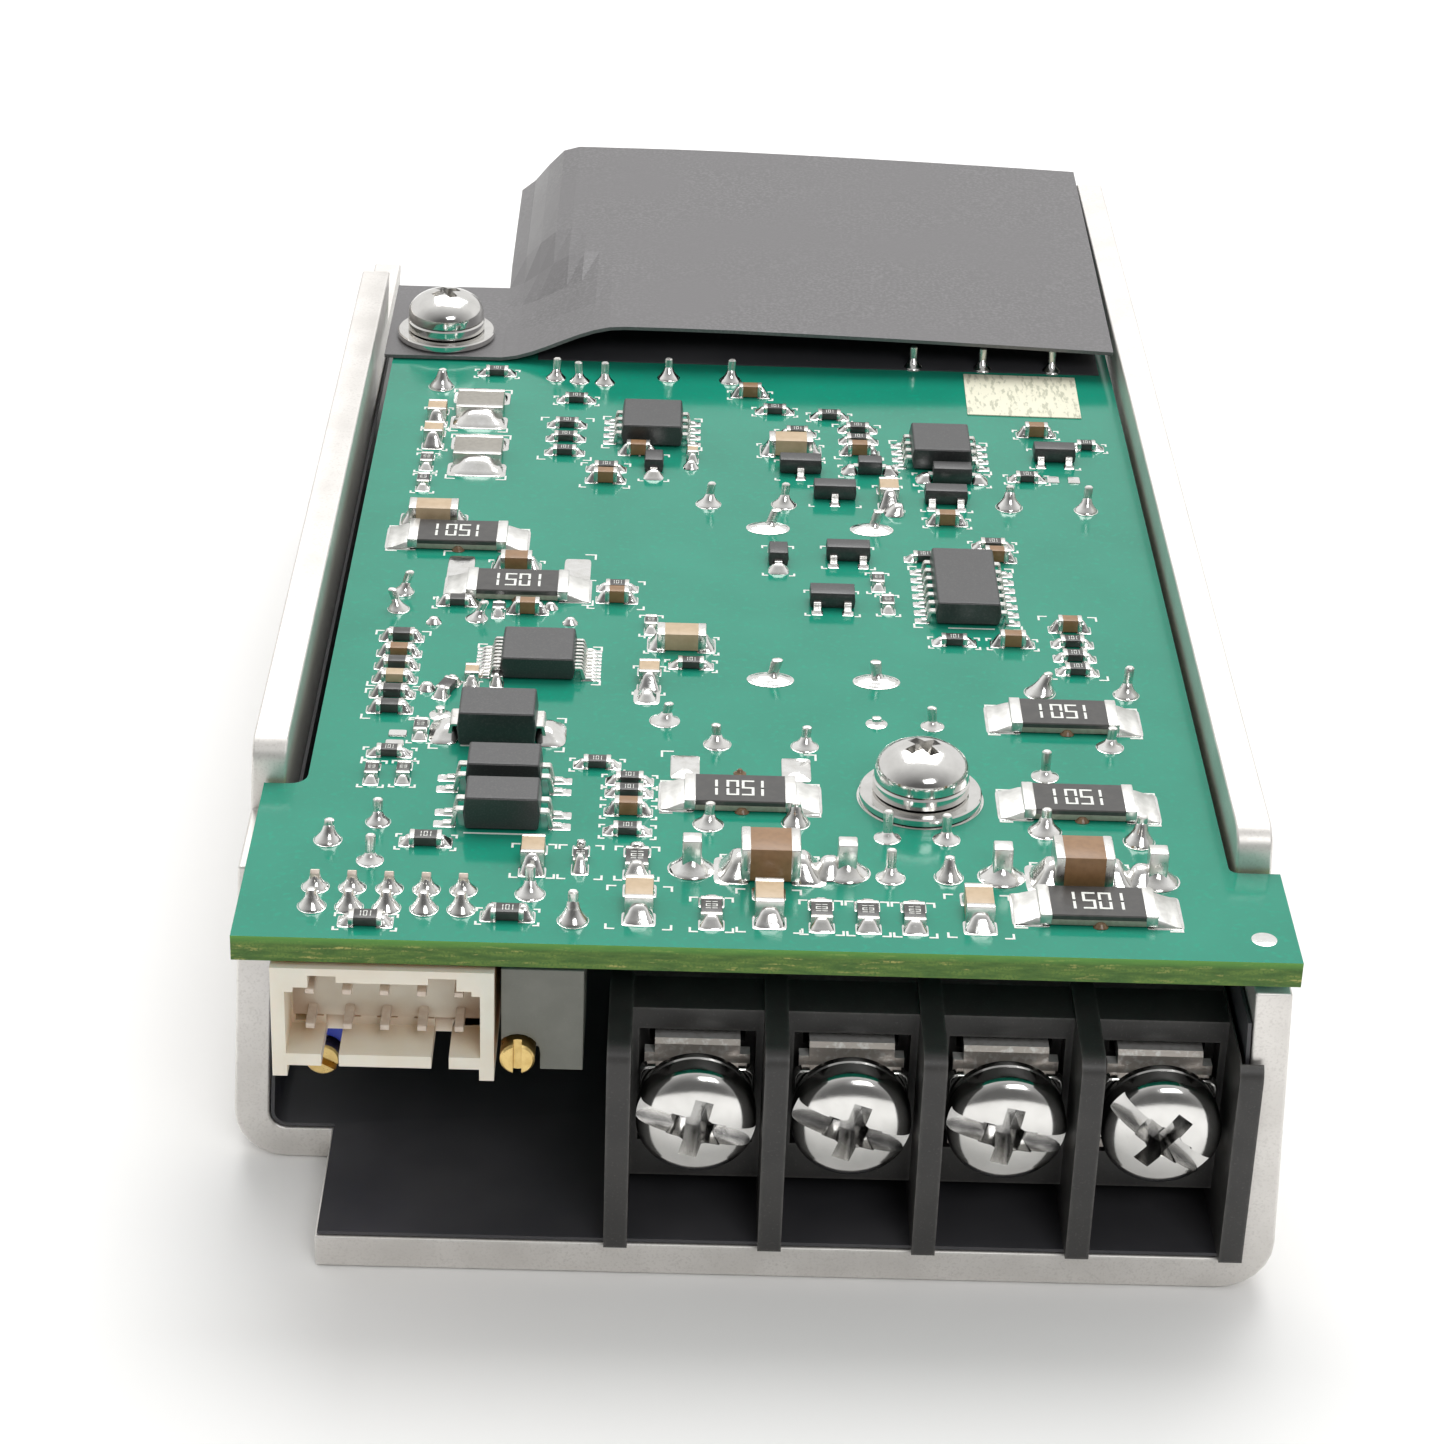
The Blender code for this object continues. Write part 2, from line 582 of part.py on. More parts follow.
def make_contact(number, x, finishes):
    """A strip: an upright plate behind the screw, a level tab above it, a tail through the board."""
    finish = finishes["nickel"]
    back = CONTACT_FRONT + CONTACT
    strip_low = SCREW_AXIS_Z + 1.3 * MM
    strip = [
        (CONTACT_FRONT, strip_low),
        (back, strip_low),
        (back, TAB_TOP - CONTACT),
        (TAIL_Y + TAIL / 2, TAB_TOP - CONTACT),
        (TAIL_Y + TAIL / 2, TAB_TOP),
        (CONTACT_FRONT + TAB_EDGE, TAB_TOP),
        (CONTACT_FRONT, TAB_TOP - TAB_EDGE),
    ]
    half = TAB_WIDTH / 2
    contact = prism(f"terminal_contact_{number}", strip, "X", x - half, x + half, finish)
    half = CONTACT_WIDTH / 2
    inset = 0.02 * MM
    plate = box(f"contact_plate_{number}", (x - half, CONTACT_FRONT + inset, CONTACT_LOW),
                (x + half, back - inset, TAB_TOP - CONTACT - inset), finish)
    join(contact, plate)
    half = TAIL / 2
    tail_x = x + TAIL_OFFSET
    tail = box(f"contact_tail_{number}", (tail_x - half, TAIL_Y - half, TAB_TOP - CONTACT / 2),
               (tail_x + half, TAIL_Y + half - inset, TAIL_TOP), finish)
    join(contact, tail)
    radius = SHANK_RADIUS + CLEARANCE
    rod = [(0, -MM), (radius, -MM), (radius, 2 * MM), (0, 2 * MM)]
    place = facing_front(x, back, SCREW_AXIS_Z)
    cut(contact, turned(f"contact_hole_{number}", rod, 16, finish, place))
    return contact


def rounded_plate(x, z, half_width, half_height, radius):
    """Outline (x, z) of a rectangle with rounded corners."""
    wide = half_width - radius
    high = half_height - radius
    corners = ((wide, high, 0), (-wide, high, 90), (-wide, -high, 180), (wide, -high, 270))
    outline = []
    for across, up, start in corners:
        outline += arc((x + across, z + up), radius, start, start + 90, 4)
    return outline


def make_clamp_plate(number, x, finishes):
    """A wide plate with rounded corners under the screw head."""
    finish = finishes["nickel"]
    outline = rounded_plate(x, SCREW_AXIS_Z, PLATE_HALF_WIDTH, PLATE_HALF_HEIGHT, PLATE_CORNER)
    name = f"terminal_clamp_plate_{number}"
    plate = prism(name, outline, "Y", PLATE_FRONT, PLATE_FRONT + PLATE, finish)
    radius = SHANK_RADIUS + CLEARANCE
    rod = [(0, -MM), (radius, -MM), (radius, 2 * MM), (0, 2 * MM)]
    place = facing_front(x, PLATE_FRONT + PLATE, SCREW_AXIS_Z)
    cut(plate, turned(f"plate_hole_{number}", rod, 16, finish, place))
    return bevelled(plate, 0.08 * MM)


def domed_head(radius, height, edge, segments):
    """Profile of a head from its rim to its pole: a short straight edge, then an elliptic dome."""
    points = [(radius, 0), (radius, edge)]
    for k in range(1, segments):
        angle = math.pi / 2 * k / segments
        points.append((radius * math.cos(angle), edge + (height - edge) * math.sin(angle)))
    return points + [(0, height)]


def recess_blade(name, length, width, depth, place, finish):
    """One arm of a cross recess: a wedge, wide at the head's face and narrow at the bottom."""
    top = 0.3 * MM
    half = length / 2
    outline = [(-half, top), (-half * 0.35, -depth), (half * 0.35, -depth), (half, top)]
    blade = prism(name, outline, "Y", -width / 2, width / 2, finish)
    blade.matrix_world = place
    return blade


def terminal_head():
    """Profile of a terminal screw's head: a captive washer, a neck, an upright rim and a low dome."""
    washer_radius, washer_height = CAPTIVE_WASHER
    neck_radius, neck_top = HEAD_NECK
    fillet = 0.06 * MM
    rim_top = neck_top + 1.0 * MM
    shoulder = rim_top + 0.3 * MM
    return [
        (washer_radius, 0),
        (washer_radius, washer_height),
        (neck_radius, washer_height + fillet),
        (neck_radius, neck_top - fillet),
        (HEAD_RADIUS, neck_top),
        (HEAD_RADIUS, rim_top),
        (HEAD_RADIUS - 0.12 * MM, shoulder),
        (HEAD_RADIUS - 0.5 * MM, HEAD_HEIGHT - 0.43 * MM),
        (HEAD_RADIUS - 1.3 * MM, HEAD_HEIGHT - 0.17 * MM),
        (HEAD_RADIUS - 2.3 * MM, HEAD_HEIGHT - 0.03 * MM),
        (0, HEAD_HEIGHT),
    ]


def make_terminal_screw(number, x, angle, finishes):
    finish = finishes["nickel"]
    head = terminal_head()
    shank = [(0, -SHANK_LENGTH), (SHANK_RADIUS - 0.3 * MM, -SHANK_LENGTH),
             (SHANK_RADIUS, -SHANK_LENGTH + 0.5 * MM), (SHANK_RADIUS, 0)]
    place = facing_front(x, HEAD_BACK, SCREW_AXIS_Z)
    screw = turned(f"terminal_screw_{number}", shank + head, 28, finish, Matrix())
    screw.matrix_world = place
    turn = place @ Matrix.Rotation(math.radians(angle), 4, "Z")
    face = turn @ Matrix.Translation((0, 0, HEAD_HEIGHT))
    reach = HEAD_RADIUS + MM
    slot = box(f"screw_slot_{number}", (-reach, -SLOT_WIDTH / 2, -SLOT_DEPTH), (reach, SLOT_WIDTH / 2, MM), finish)
    slot.matrix_world = face
    cut(screw, slot)
    across = face @ Matrix.Rotation(math.pi / 2, 4, "Z")
    cut(screw, recess_blade(f"screw_cross_{number}", CROSS_LENGTH, CROSS_WIDTH, CROSS_DEPTH, across, finish))
    return screw


def make_terminal_block(finishes):
    make_terminal_housing(finishes)
    for k, x in enumerate(cell_centres()):
        make_contact(k + 1, x, finishes)
        make_clamp_plate(k + 1, x, finishes)
        make_terminal_screw(k + 1, x, SLOT_ANGLES[k], finishes)


def cavity_outline():
    """Front view (x, z) of the socket: stepped upper corners and two keyways in its roof."""
    floor = SHELL_FLOOR + SHELL_WALL
    roof = SHELL_TOP - 0.85 * MM
    keyway = SHELL_TOP - 0.45 * MM
    half = [
        (SHELL_WALL, floor),
        (SHELL_WALL, SHELL_TOP - 1.5 * MM),
        (1.2 * MM, SHELL_TOP - 1.5 * MM),
        (1.2 * MM, SHELL_TOP - 1.2 * MM),
        (2.0 * MM, SHELL_TOP - 1.2 * MM),
        (2.0 * MM, keyway),
        (3.5 * MM, keyway),
        (3.5 * MM, roof),
    ]
    left = [(SHELL_LEFT + x, z) for x, z in half]
    right = [(SHELL_RIGHT - x, z) for x, z in reversed(half)]
    return left + right


def make_signal_connector(finishes):
    finish = finishes["ivory_plastic"]
    low = (SHELL_LEFT, SHELL_FRONT, SHELL_BOTTOM)
    high = (SHELL_RIGHT, SHELL_BACK, SHELL_TOP)
    shell = box("signal_connector_housing", low, high, finish)
    over = MM
    cut(shell, prism("shell_cavity", cavity_outline(), "Y", SHELL_FRONT - over, CAVITY_BACK, finish))
    rail = 0.8 * MM
    cut(shell, box("shell_underside", (SHELL_LEFT + rail, SHELL_FRONT - over, SHELL_BOTTOM - over),
                   (SHELL_RIGHT - rail, SHELL_BACK + over, SHELL_FLOOR), finish))
    for k, x in enumerate((SHELL_LEFT + 3.1 * MM, SHELL_RIGHT - 2.9 * MM)):
        cut(shell, box(f"shell_floor_slot_{k + 1}", (x - 0.47 * MM, SHELL_FRONT - over, SHELL_BOTTOM - over),
                       (x + 0.47 * MM, CAVITY_BACK + 0.6 * MM, SHELL_FLOOR + 1.5 * MM), finish))
    for k, x in enumerate((SHELL_LEFT + 1.3 * MM, SHELL_RIGHT - 1.1 * MM)):
        cut(shell, box(f"shell_window_{k + 1}", (x - 0.33 * MM, CAVITY_BACK - over, SHELL_FLOOR + 0.9 * MM),
                       (x + 0.33 * MM, SHELL_BACK + over, SHELL_FLOOR + 1.35 * MM), finish))
    slot = PIN / 2 + CLEARANCE
    for k, x in enumerate(pin_columns()):
        cut(shell, box(f"shell_pin_slot_{k + 1}", (x - slot, CAVITY_BACK - 0.2 * MM, LOWER_PIN_Z - slot),
                       (x + slot, REAR_TAIL_Y + slot, SHELL_TOP + over), finish))
    for k, x in enumerate(pin_columns()):
        make_pin(f"signal_pin_front_{k + 1}", x, UPPER_PIN_Z, FRONT_TAIL_Y, finishes)
        make_pin(f"signal_pin_rear_{k + 1}", x, LOWER_PIN_Z, REAR_TAIL_Y, finishes)
    return shell


def make_pin(name, x, level, tail_y, finishes):
    """A square wire bent once: level in the connector, then up through the board."""
    half = PIN / 2
    outline = [
        (PIN_TIP_Y, level - half + 0.1 * MM),
        (PIN_TIP_Y + 0.2 * MM, level - half),
        (tail_y + half - 0.2 * MM, level - half),
        (tail_y + half, level - half + 0.2 * MM),
        (tail_y + half, PIN_TOP - 0.15 * MM),
        (tail_y, PIN_TOP),
        (tail_y - half, PIN_TOP - 0.15 * MM),
        (tail_y - half, level + half),
        (PIN_TIP_Y + 0.2 * MM, level + half),
        (PIN_TIP_Y, level + half - 0.1 * MM),
    ]
    return prism(name, outline, "X", x - half, x + half, finishes["nickel"])


def make_trimmer(label, low, high, screw, radius, angle, body_finish, finishes):
    """A trimmer body with a socket in its front face, and the slotted screw that turns in the socket.

    A socket at the body's lower left corner is open below and to the left.
    """
    body = box(label + "_trimmer_body", low, high, finishes[body_finish])
    x, z = screw
    wide = radius + 0.25 * MM
    socket = [(0, -TRIMMER_SOCKET_DEPTH), (wide, -TRIMMER_SOCKET_DEPTH), (wide, MM), (0, MM)]
    face = facing_front(x, low[1], z)
    if z - wide < low[2]:
        cut(body, box(label + "_corner", (low[0] - MM, low[1] - MM, low[2] - MM),
                      (x + wide, low[1] + TRIMMER_SOCKET_DEPTH, z), finishes[body_finish]))
    cut(body, turned(label + "_socket", socket, 20, finishes[body_finish], face))
    bevelled(body, 0.07 * MM)
    depth = TRIMMER_SOCKET_DEPTH - CLEARANCE
    edge = 0.12 * MM
    profile = [(0, -depth), (radius, -depth), (radius, TRIMMER_PROUD - edge),
               (radius - edge, TRIMMER_PROUD), (0, TRIMMER_PROUD)]
    made = turned(label + "_trimmer_screw", profile, 24, finishes["brass"], Matrix())
    made.matrix_world = face
    reach = radius + MM
    slot = box(label + "_trimmer_slot", (-TRIMMER_SLOT / 2, -reach, TRIMMER_PROUD - 0.6 * MM),
               (TRIMMER_SLOT / 2, reach, TRIMMER_PROUD + MM), finishes["brass"])
    slot.matrix_world = face @ Matrix.Rotation(math.radians(angle), 4, "Z")
    cut(made, slot)
    return made


def washer(name, x, y, z, outer, inner, height, finish):
    profile = [(inner, 0), (outer, 0), (outer, height), (inner, height)]
    return turned(name, profile, 24, finish, upright(x, y, z))


def make_board_screw(label, centre, seat, finishes):
    """A pan head screw with a spring washer and a flat washer, into a hexagonal standoff."""
    finish = finishes["nickel"]
    x, y = centre
    flat_radius, flat_height = FLAT_WASHER
    spring_radius, spring_height = SPRING_WASHER
    level = seat + REST_GAP
    washer(label + "_flat_washer", x, y, level, flat_radius, 1.7 * MM, flat_height, finish)
    level += flat_height + REST_GAP
    ring = washer(label + "_spring_washer", x, y, level, spring_radius, 1.7 * MM, spring_height, finish)
    split = box(label + "_washer_split", (-0.2 * MM, 0, -MM), (0.2 * MM, 4 * MM, 2 * MM), finish)
    split.matrix_world = upright(x, y, level) @ Matrix.Rotation(math.radians(-20), 4, "Z")
    cut(ring, split)
    level += spring_height + REST_GAP
    head = domed_head(PAN_RADIUS, PAN_HEIGHT, 0.5 * MM, 6)
    shank = [(0, -M3_LENGTH), (M3_RADIUS - 0.3 * MM, -M3_LENGTH), (M3_RADIUS, -M3_LENGTH + 0.5 * MM),
             (M3_RADIUS, 0)]
    screw = turned(label + "_board_screw", shank + head, 24, finish, upright(x, y, level))
    for angle in (35, 125):
        face = upright(x, y, level + PAN_HEIGHT) @ Matrix.Rotation(math.radians(angle), 4, "Z")
        cut(screw, recess_blade(f"{label}_cross_{angle}", 3.2 * MM, 0.8 * MM, 1.3 * MM, face, finish))
    make_standoff(label + "_standoff", x, y, finishes)


def make_standoff(name, x, y, finishes):
    finish = finishes["brass"]
    radius = STANDOFF_FLATS / math.sqrt(3)
    low = SHEET + REST_GAP
    high = BOARD_BOTTOM - REST_GAP
    profile = [(0, low), (radius, low), (radius, high), (0, high)]
    standoff = turned(name, profile, 6, finish, upright(x, y, 0))
    bore = [(0, high - STANDOFF_BORE_DEPTH), (STANDOFF_BORE, high - STANDOFF_BORE_DEPTH),
            (STANDOFF_BORE, high + MM), (0, high + MM)]
    cut(standoff, turned(name + "_bore", bore, 14, finish, upright(x, y, 0)))


def make_chips(finishes):
    """Moulded chip bodies, each with a mould line half way up its sides."""
    for name, (x, y, width, depth, height) in CHIPS.items():
        centre = (x * MM, FRONT + y * MM)
        low = BOARD_TOP + SOLDER_FILM
        high = low + height * MM
        middle = (low + high) / 2
        draft = 0.12 * MM
        half = width * MM / 2
        outline = [(-half + draft, low), (half - draft, low), (half, middle), (half - draft, high),
                   (-half + draft, high), (-half, middle)]
        outline = [(centre[0] + a, b) for a, b in outline]
        depth_half = depth * MM / 2
        chip = prism(name, outline, "Y", centre[1] - depth_half, centre[1] + depth_half, finishes["chip_black"])
        bevelled(chip, 0.08 * MM)


def make_power_resistors(finishes):
    for k, (x, y) in enumerate(POWER_RESISTORS):
        width, depth, height = RESISTOR_SIZE
        low = (x * MM - width / 2, FRONT + y * MM - depth / 2, BOARD_TOP + SOLDER_FILM)
        high = (low[0] + width, low[1] + depth, low[2] + height)
        bevelled(box(f"power_resistor_{k + 1}", low, high, finishes["resistor"]), 0.06 * MM)


def make_bulk_capacitor(name, x, y, finishes):
    """A radial can hanging under the board, with the rolled groove near its leads."""
    radius = CAPACITOR_RADIUS
    top = BOARD_BOTTOM - 0.4 * MM
    low = top - CAPACITOR_HEIGHT
    groove = top - 2.2 * MM
    profile = [
        (0, low), (radius - 0.6 * MM, low), (radius, low + 0.6 * MM), (radius, groove - 0.7 * MM),
        (radius - 0.5 * MM, groove), (radius, groove + 0.7 * MM), (radius, top - 0.3 * MM),
        (radius - 0.3 * MM, top), (0, top),
    ]
    turned(name, profile, 28, finishes["capacitor_sleeve"], upright(x, y, 0))


def make_transformer(finishes):
    """A core block with its winding standing out of both sides."""
    x, y = TRANSFORMER_CENTRE
    width, depth, height = TRANSFORMER_SIZE
    top = BOARD_BOTTOM - 0.6 * MM
    low = top - height
    core = box("power_transformer", (x - width / 2, y - depth / 2 + 3 * MM, low),
               (x + width / 2, y + depth / 2 - 3 * MM, top - 1.2 * MM), finishes["ferrite"])
    winding = box("transformer_winding", (x - width / 2 + 2 * MM, y - depth / 2, low + 2.5 * MM),
                  (x + width / 2 - 2 * MM, y + depth / 2, top), finishes["ferrite"])
    join(core, winding)
    bevelled(core, 0.4 * MM, 2)


def make_power_stage(finishes):
    pad_low = FLOOR + REST_GAP
    pad_high = pad_low + THERMAL_PAD
    box("thermal_pad", (*POWER_STAGE_LOW, pad_low), (*POWER_STAGE_HIGH, pad_high), finishes["thermal_rubber"])
    low = pad_high + REST_GAP
    block = box("power_stage_module", (*POWER_STAGE_LOW, low), (*POWER_STAGE_HIGH, low + POWER_STAGE_HEIGHT),
                finishes["black_plastic"])
    bevelled(block, 0.5 * MM, 2)


def build():
    clear_scene()
    finishes = make_materials()
    make_chassis(finishes)
    make_liner(finishes)
    make_board(finishes)
    make_cover_film(finishes)
    make_terminal_block(finishes)
    make_signal_connector(finishes)
    make_trimmer("grey", GREY_LOW, GREY_HIGH, GREY_SCREW, GREY_SCREW_RADIUS, 0, "grey_plastic", finishes)
    make_trimmer("blue", BLUE_LOW, BLUE_HIGH, BLUE_SCREW, BLUE_SCREW_RADIUS, 62, "blue_plastic", finishes)
    make_board_screw("front", FRONT_SCREW, BOARD_TOP, finishes)
    make_board_screw("rear", REAR_SCREW, FILM_LOW + FILM, finishes)
    make_chips(finishes)
    make_power_resistors(finishes)
    for k, (x, y) in enumerate(BULK_CAPACITORS):
        make_bulk_capacitor(f"bulk_capacitor_{k + 1}", x * MM, FRONT + y * MM, finishes)
    make_transformer(finishes)
    make_power_stage(finishes)


build()
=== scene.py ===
"""Stepper driver module: the looks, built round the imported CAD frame.

Everything is in metres in the CAD's own frame: +Z up, +X right seen from the terminal end, +Y away from it.
Places on the board are given in millimetres as (x, distance from the board's front edge).
"""

import functools
import math

import bmesh
import bpy
from mathutils import Matrix, Vector


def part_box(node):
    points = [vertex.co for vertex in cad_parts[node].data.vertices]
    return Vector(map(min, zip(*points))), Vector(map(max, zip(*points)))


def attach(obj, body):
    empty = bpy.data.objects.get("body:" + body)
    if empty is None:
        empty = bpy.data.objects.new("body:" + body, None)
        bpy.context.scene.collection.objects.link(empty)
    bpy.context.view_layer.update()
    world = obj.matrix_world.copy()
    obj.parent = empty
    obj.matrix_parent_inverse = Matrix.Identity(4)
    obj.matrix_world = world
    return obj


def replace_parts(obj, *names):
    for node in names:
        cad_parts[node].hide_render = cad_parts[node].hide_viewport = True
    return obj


MM = 0.001
MODULE = "module"

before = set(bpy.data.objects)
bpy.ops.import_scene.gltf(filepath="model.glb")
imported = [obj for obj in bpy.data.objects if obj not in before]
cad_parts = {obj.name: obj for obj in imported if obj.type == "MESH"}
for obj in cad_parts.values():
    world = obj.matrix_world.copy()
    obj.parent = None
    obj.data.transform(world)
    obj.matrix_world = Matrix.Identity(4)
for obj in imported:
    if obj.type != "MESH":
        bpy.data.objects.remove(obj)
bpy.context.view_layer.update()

BOARD_LOW, BOARD_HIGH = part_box("circuit_board")
BOARD_TOP = BOARD_HIGH.z
FRONT_EDGE = BOARD_LOW.y
SLOT_ANGLES = (-14, -18, -12, -38)
TERMINAL_HEAD_HEIGHT = 2.85


# ---------------------------------------------------------------- small mesh tools


class Shape:
    """A small mesh held as points and faces, to be stamped into a piece many times."""

    def __init__(self, work):
        work.verts.index_update()
        self.points = [v.co.copy() for v in work.verts]
        self.faces = [[v.index for v in face.verts] for face in work.faces]
        work.free()


class Piece:
    """Gathers stamped shapes into one mesh object."""

    def __init__(self, name, finish, slot, body=MODULE):
        self.name = name
        self.finish = finish
        self.slot = slot
        self.body = body
        self.points = []
        self.faces = []

    def stamp(self, shape, place):
        start = len(self.points)
        self.points += [place @ point for point in shape.points]
        self.faces += [[start + index for index in face] for face in shape.faces]

    def finished(self, sharp=35):
        mesh = bpy.data.meshes.new(self.name)
        mesh.from_pydata(self.points, [], self.faces)
        obj = bpy.data.objects.new(self.name, mesh)
        bpy.context.scene.collection.objects.link(obj)
        return dressed(obj, self.finish, self.body, sharp)


def dressed(obj, finish, body=MODULE, sharp=35):
    """Give a new object its finish, its smooth shading and its body."""
    obj.data.materials.clear()
    obj.data.materials.append(finish)
    obj.data.shade_smooth()
    obj.data.set_sharp_from_angle(angle=math.radians(sharp))
    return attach(obj, body)


def object_of(work, name):
    bmesh.ops.recalc_face_normals(work, faces=work.faces)
    mesh = bpy.data.meshes.new(name)
    work.to_mesh(mesh)
    work.free()
    obj = bpy.data.objects.new(name, mesh)
    bpy.context.scene.collection.objects.link(obj)
    return obj


def settled(obj):
    """Bake an object's modifiers into its mesh."""
    bpy.context.view_layer.update()
    graph = bpy.context.evaluated_depsgraph_get()
    mesh = bpy.data.meshes.new_from_object(obj.evaluated_get(graph))
    obj.modifiers.clear()
    obj.data = mesh
    return obj


def carve(obj, cutter, operation="DIFFERENCE"):
    modifier = obj.modifiers.new("carve", "BOOLEAN")
    modifier.operation = operation
    modifier.solver = "EXACT"
    modifier.object = cutter
    settled(obj)
    bpy.data.objects.remove(cutter)
    return obj


def bevel(obj, width, segments=3, angle=30):
    modifier = obj.modifiers.new("edges", "BEVEL")
    modifier.width = width
    modifier.segments = segments
    modifier.limit_method = "ANGLE"
    modifier.angle_limit = math.radians(angle)
    modifier.harden_normals = True
    return obj


def refined(node, name, finish, width, segments=3, body=MODULE):
    """A fine copy of a CAD node: flat faces made whole, and every sharp edge rounded."""
    work = bmesh.new()
    work.from_mesh(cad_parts[node].data)
    bmesh.ops.remove_doubles(work, verts=work.verts, dist=0.002 * MM)
    bmesh.ops.dissolve_limit(work, angle_limit=math.radians(1), verts=work.verts, edges=work.edges)
    obj = object_of(work, name)
    dressed(obj, finish, body)
    if width:
        bevel(obj, width, segments)
    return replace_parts(obj, node)


def bevel_work(work, width, segments=2):
    edges = [edge for edge in work.edges if edge.calc_face_angle(0) > math.radians(30)]
    bmesh.ops.bevel(work, geom=edges, offset=width, segments=segments, profile=0.5, affect="EDGES")
    return work


def block_work(width, depth, height, low=0.0):
    work = bmesh.new()
    bmesh.ops.create_cube(work, size=1.0)
    bmesh.ops.scale(work, vec=(width, depth, height), verts=work.verts)
    bmesh.ops.translate(work, vec=(0, 0, low + height / 2), verts=work.verts)
    return work


def block(width, depth, height, edge=0.0, low=0.0, segments=2):
    """A block standing on z = low, with rounded edges."""
    work = block_work(width, depth, height, low)
    if edge:
        bevel_work(work, edge, segments)
    return Shape(work)


def turned_work(profile, segments=24):
    """Turn (radius, height) points about Z. A profile that starts and ends at radius 0 is a closed solid."""
    work = bmesh.new()
    rings = []
    for radius, height in profile:
        count = segments if radius else 1
        angles = [2 * math.pi * k / segments for k in range(count)]
        rings.append([work.verts.new((radius * math.cos(a), radius * math.sin(a), height)) for a in angles])
    pairs = list(zip(rings, rings[1:]))
    if profile[0][0]:
        pairs.append((rings[-1], rings[0]))
    for low, high in pairs:
        for k in range(segments):
            after = (k + 1) % segments
            corners = [low[k % len(low)], low[after % len(low)], high[after % len(high)], high[k % len(high)]]
            work.faces.new(list(dict.fromkeys(corners)))
    bmesh.ops.recalc_face_normals(work, faces=work.faces)
    return work


def prism_work(outline, half_width):
    """A side view (y, z) swept along X, symmetric about x = 0."""
    work = bmesh.new()
    verts = [work.verts.new((-half_width, y, z)) for y, z in outline]
    swept = bmesh.ops.extrude_face_region(work, geom=[work.faces.new(verts)])
    moved = [item for item in swept["geom"] if isinstance(item, bmesh.types.BMVert)]
    bmesh.ops.translate(work, vec=(2 * half_width, 0, 0), verts=moved)
    bmesh.ops.recalc_face_normals(work, faces=work.faces)
    return work


def signed_power(value, exponent):
    return math.copysign(abs(value) ** exponent, value)


def mound(half_x, half_y, profile, squareness=1.0, lean=(0.0, 0.0), segments=20):
    """A heap of solder: rings of a rounded rectangle, each a share of the base and at its own height.

    Squareness 1 gives an ellipse, and less than 1 a rectangle with round corners. The top leans by `lean`.
    """
    work = bmesh.new()
    top = max(height for _, height in profile)
    rings = []
    for share, height in profile:
        shift = (lean[0] * height / top, lean[1] * height / top)
        ring = []
        for k in range(segments if share else 1):
            angle = 2 * math.pi * (k + 0.5) / segments
            x = half_x * share * signed_power(math.cos(angle), squareness) if share else 0
            y = half_y * share * signed_power(math.sin(angle), squareness) if share else 0
            ring.append(work.verts.new((x + shift[0], y + shift[1], height)))
        rings.append(ring)
    work.faces.new(list(reversed(rings[0])))
    for low, high in zip(rings, rings[1:]):
        for k in range(segments):
            after = (k + 1) % segments
            corners = [low[k], low[after], high[after % len(high)], high[k % len(high)]]
            work.faces.new(list(dict.fromkeys(corners)))
    return Shape(work)


def on_board(x, y, z=0.0, turn=0.0):
    """Placement on the board's top of a shape drawn in millimetres."""
    place = Matrix.Translation((x * MM, FRONT_EDGE + y * MM, BOARD_TOP + z * MM))
    return place @ Matrix.Rotation(math.radians(turn), 4, "Z") @ Matrix.Scale(MM, 4)


# ---------------------------------------------------------------- materials


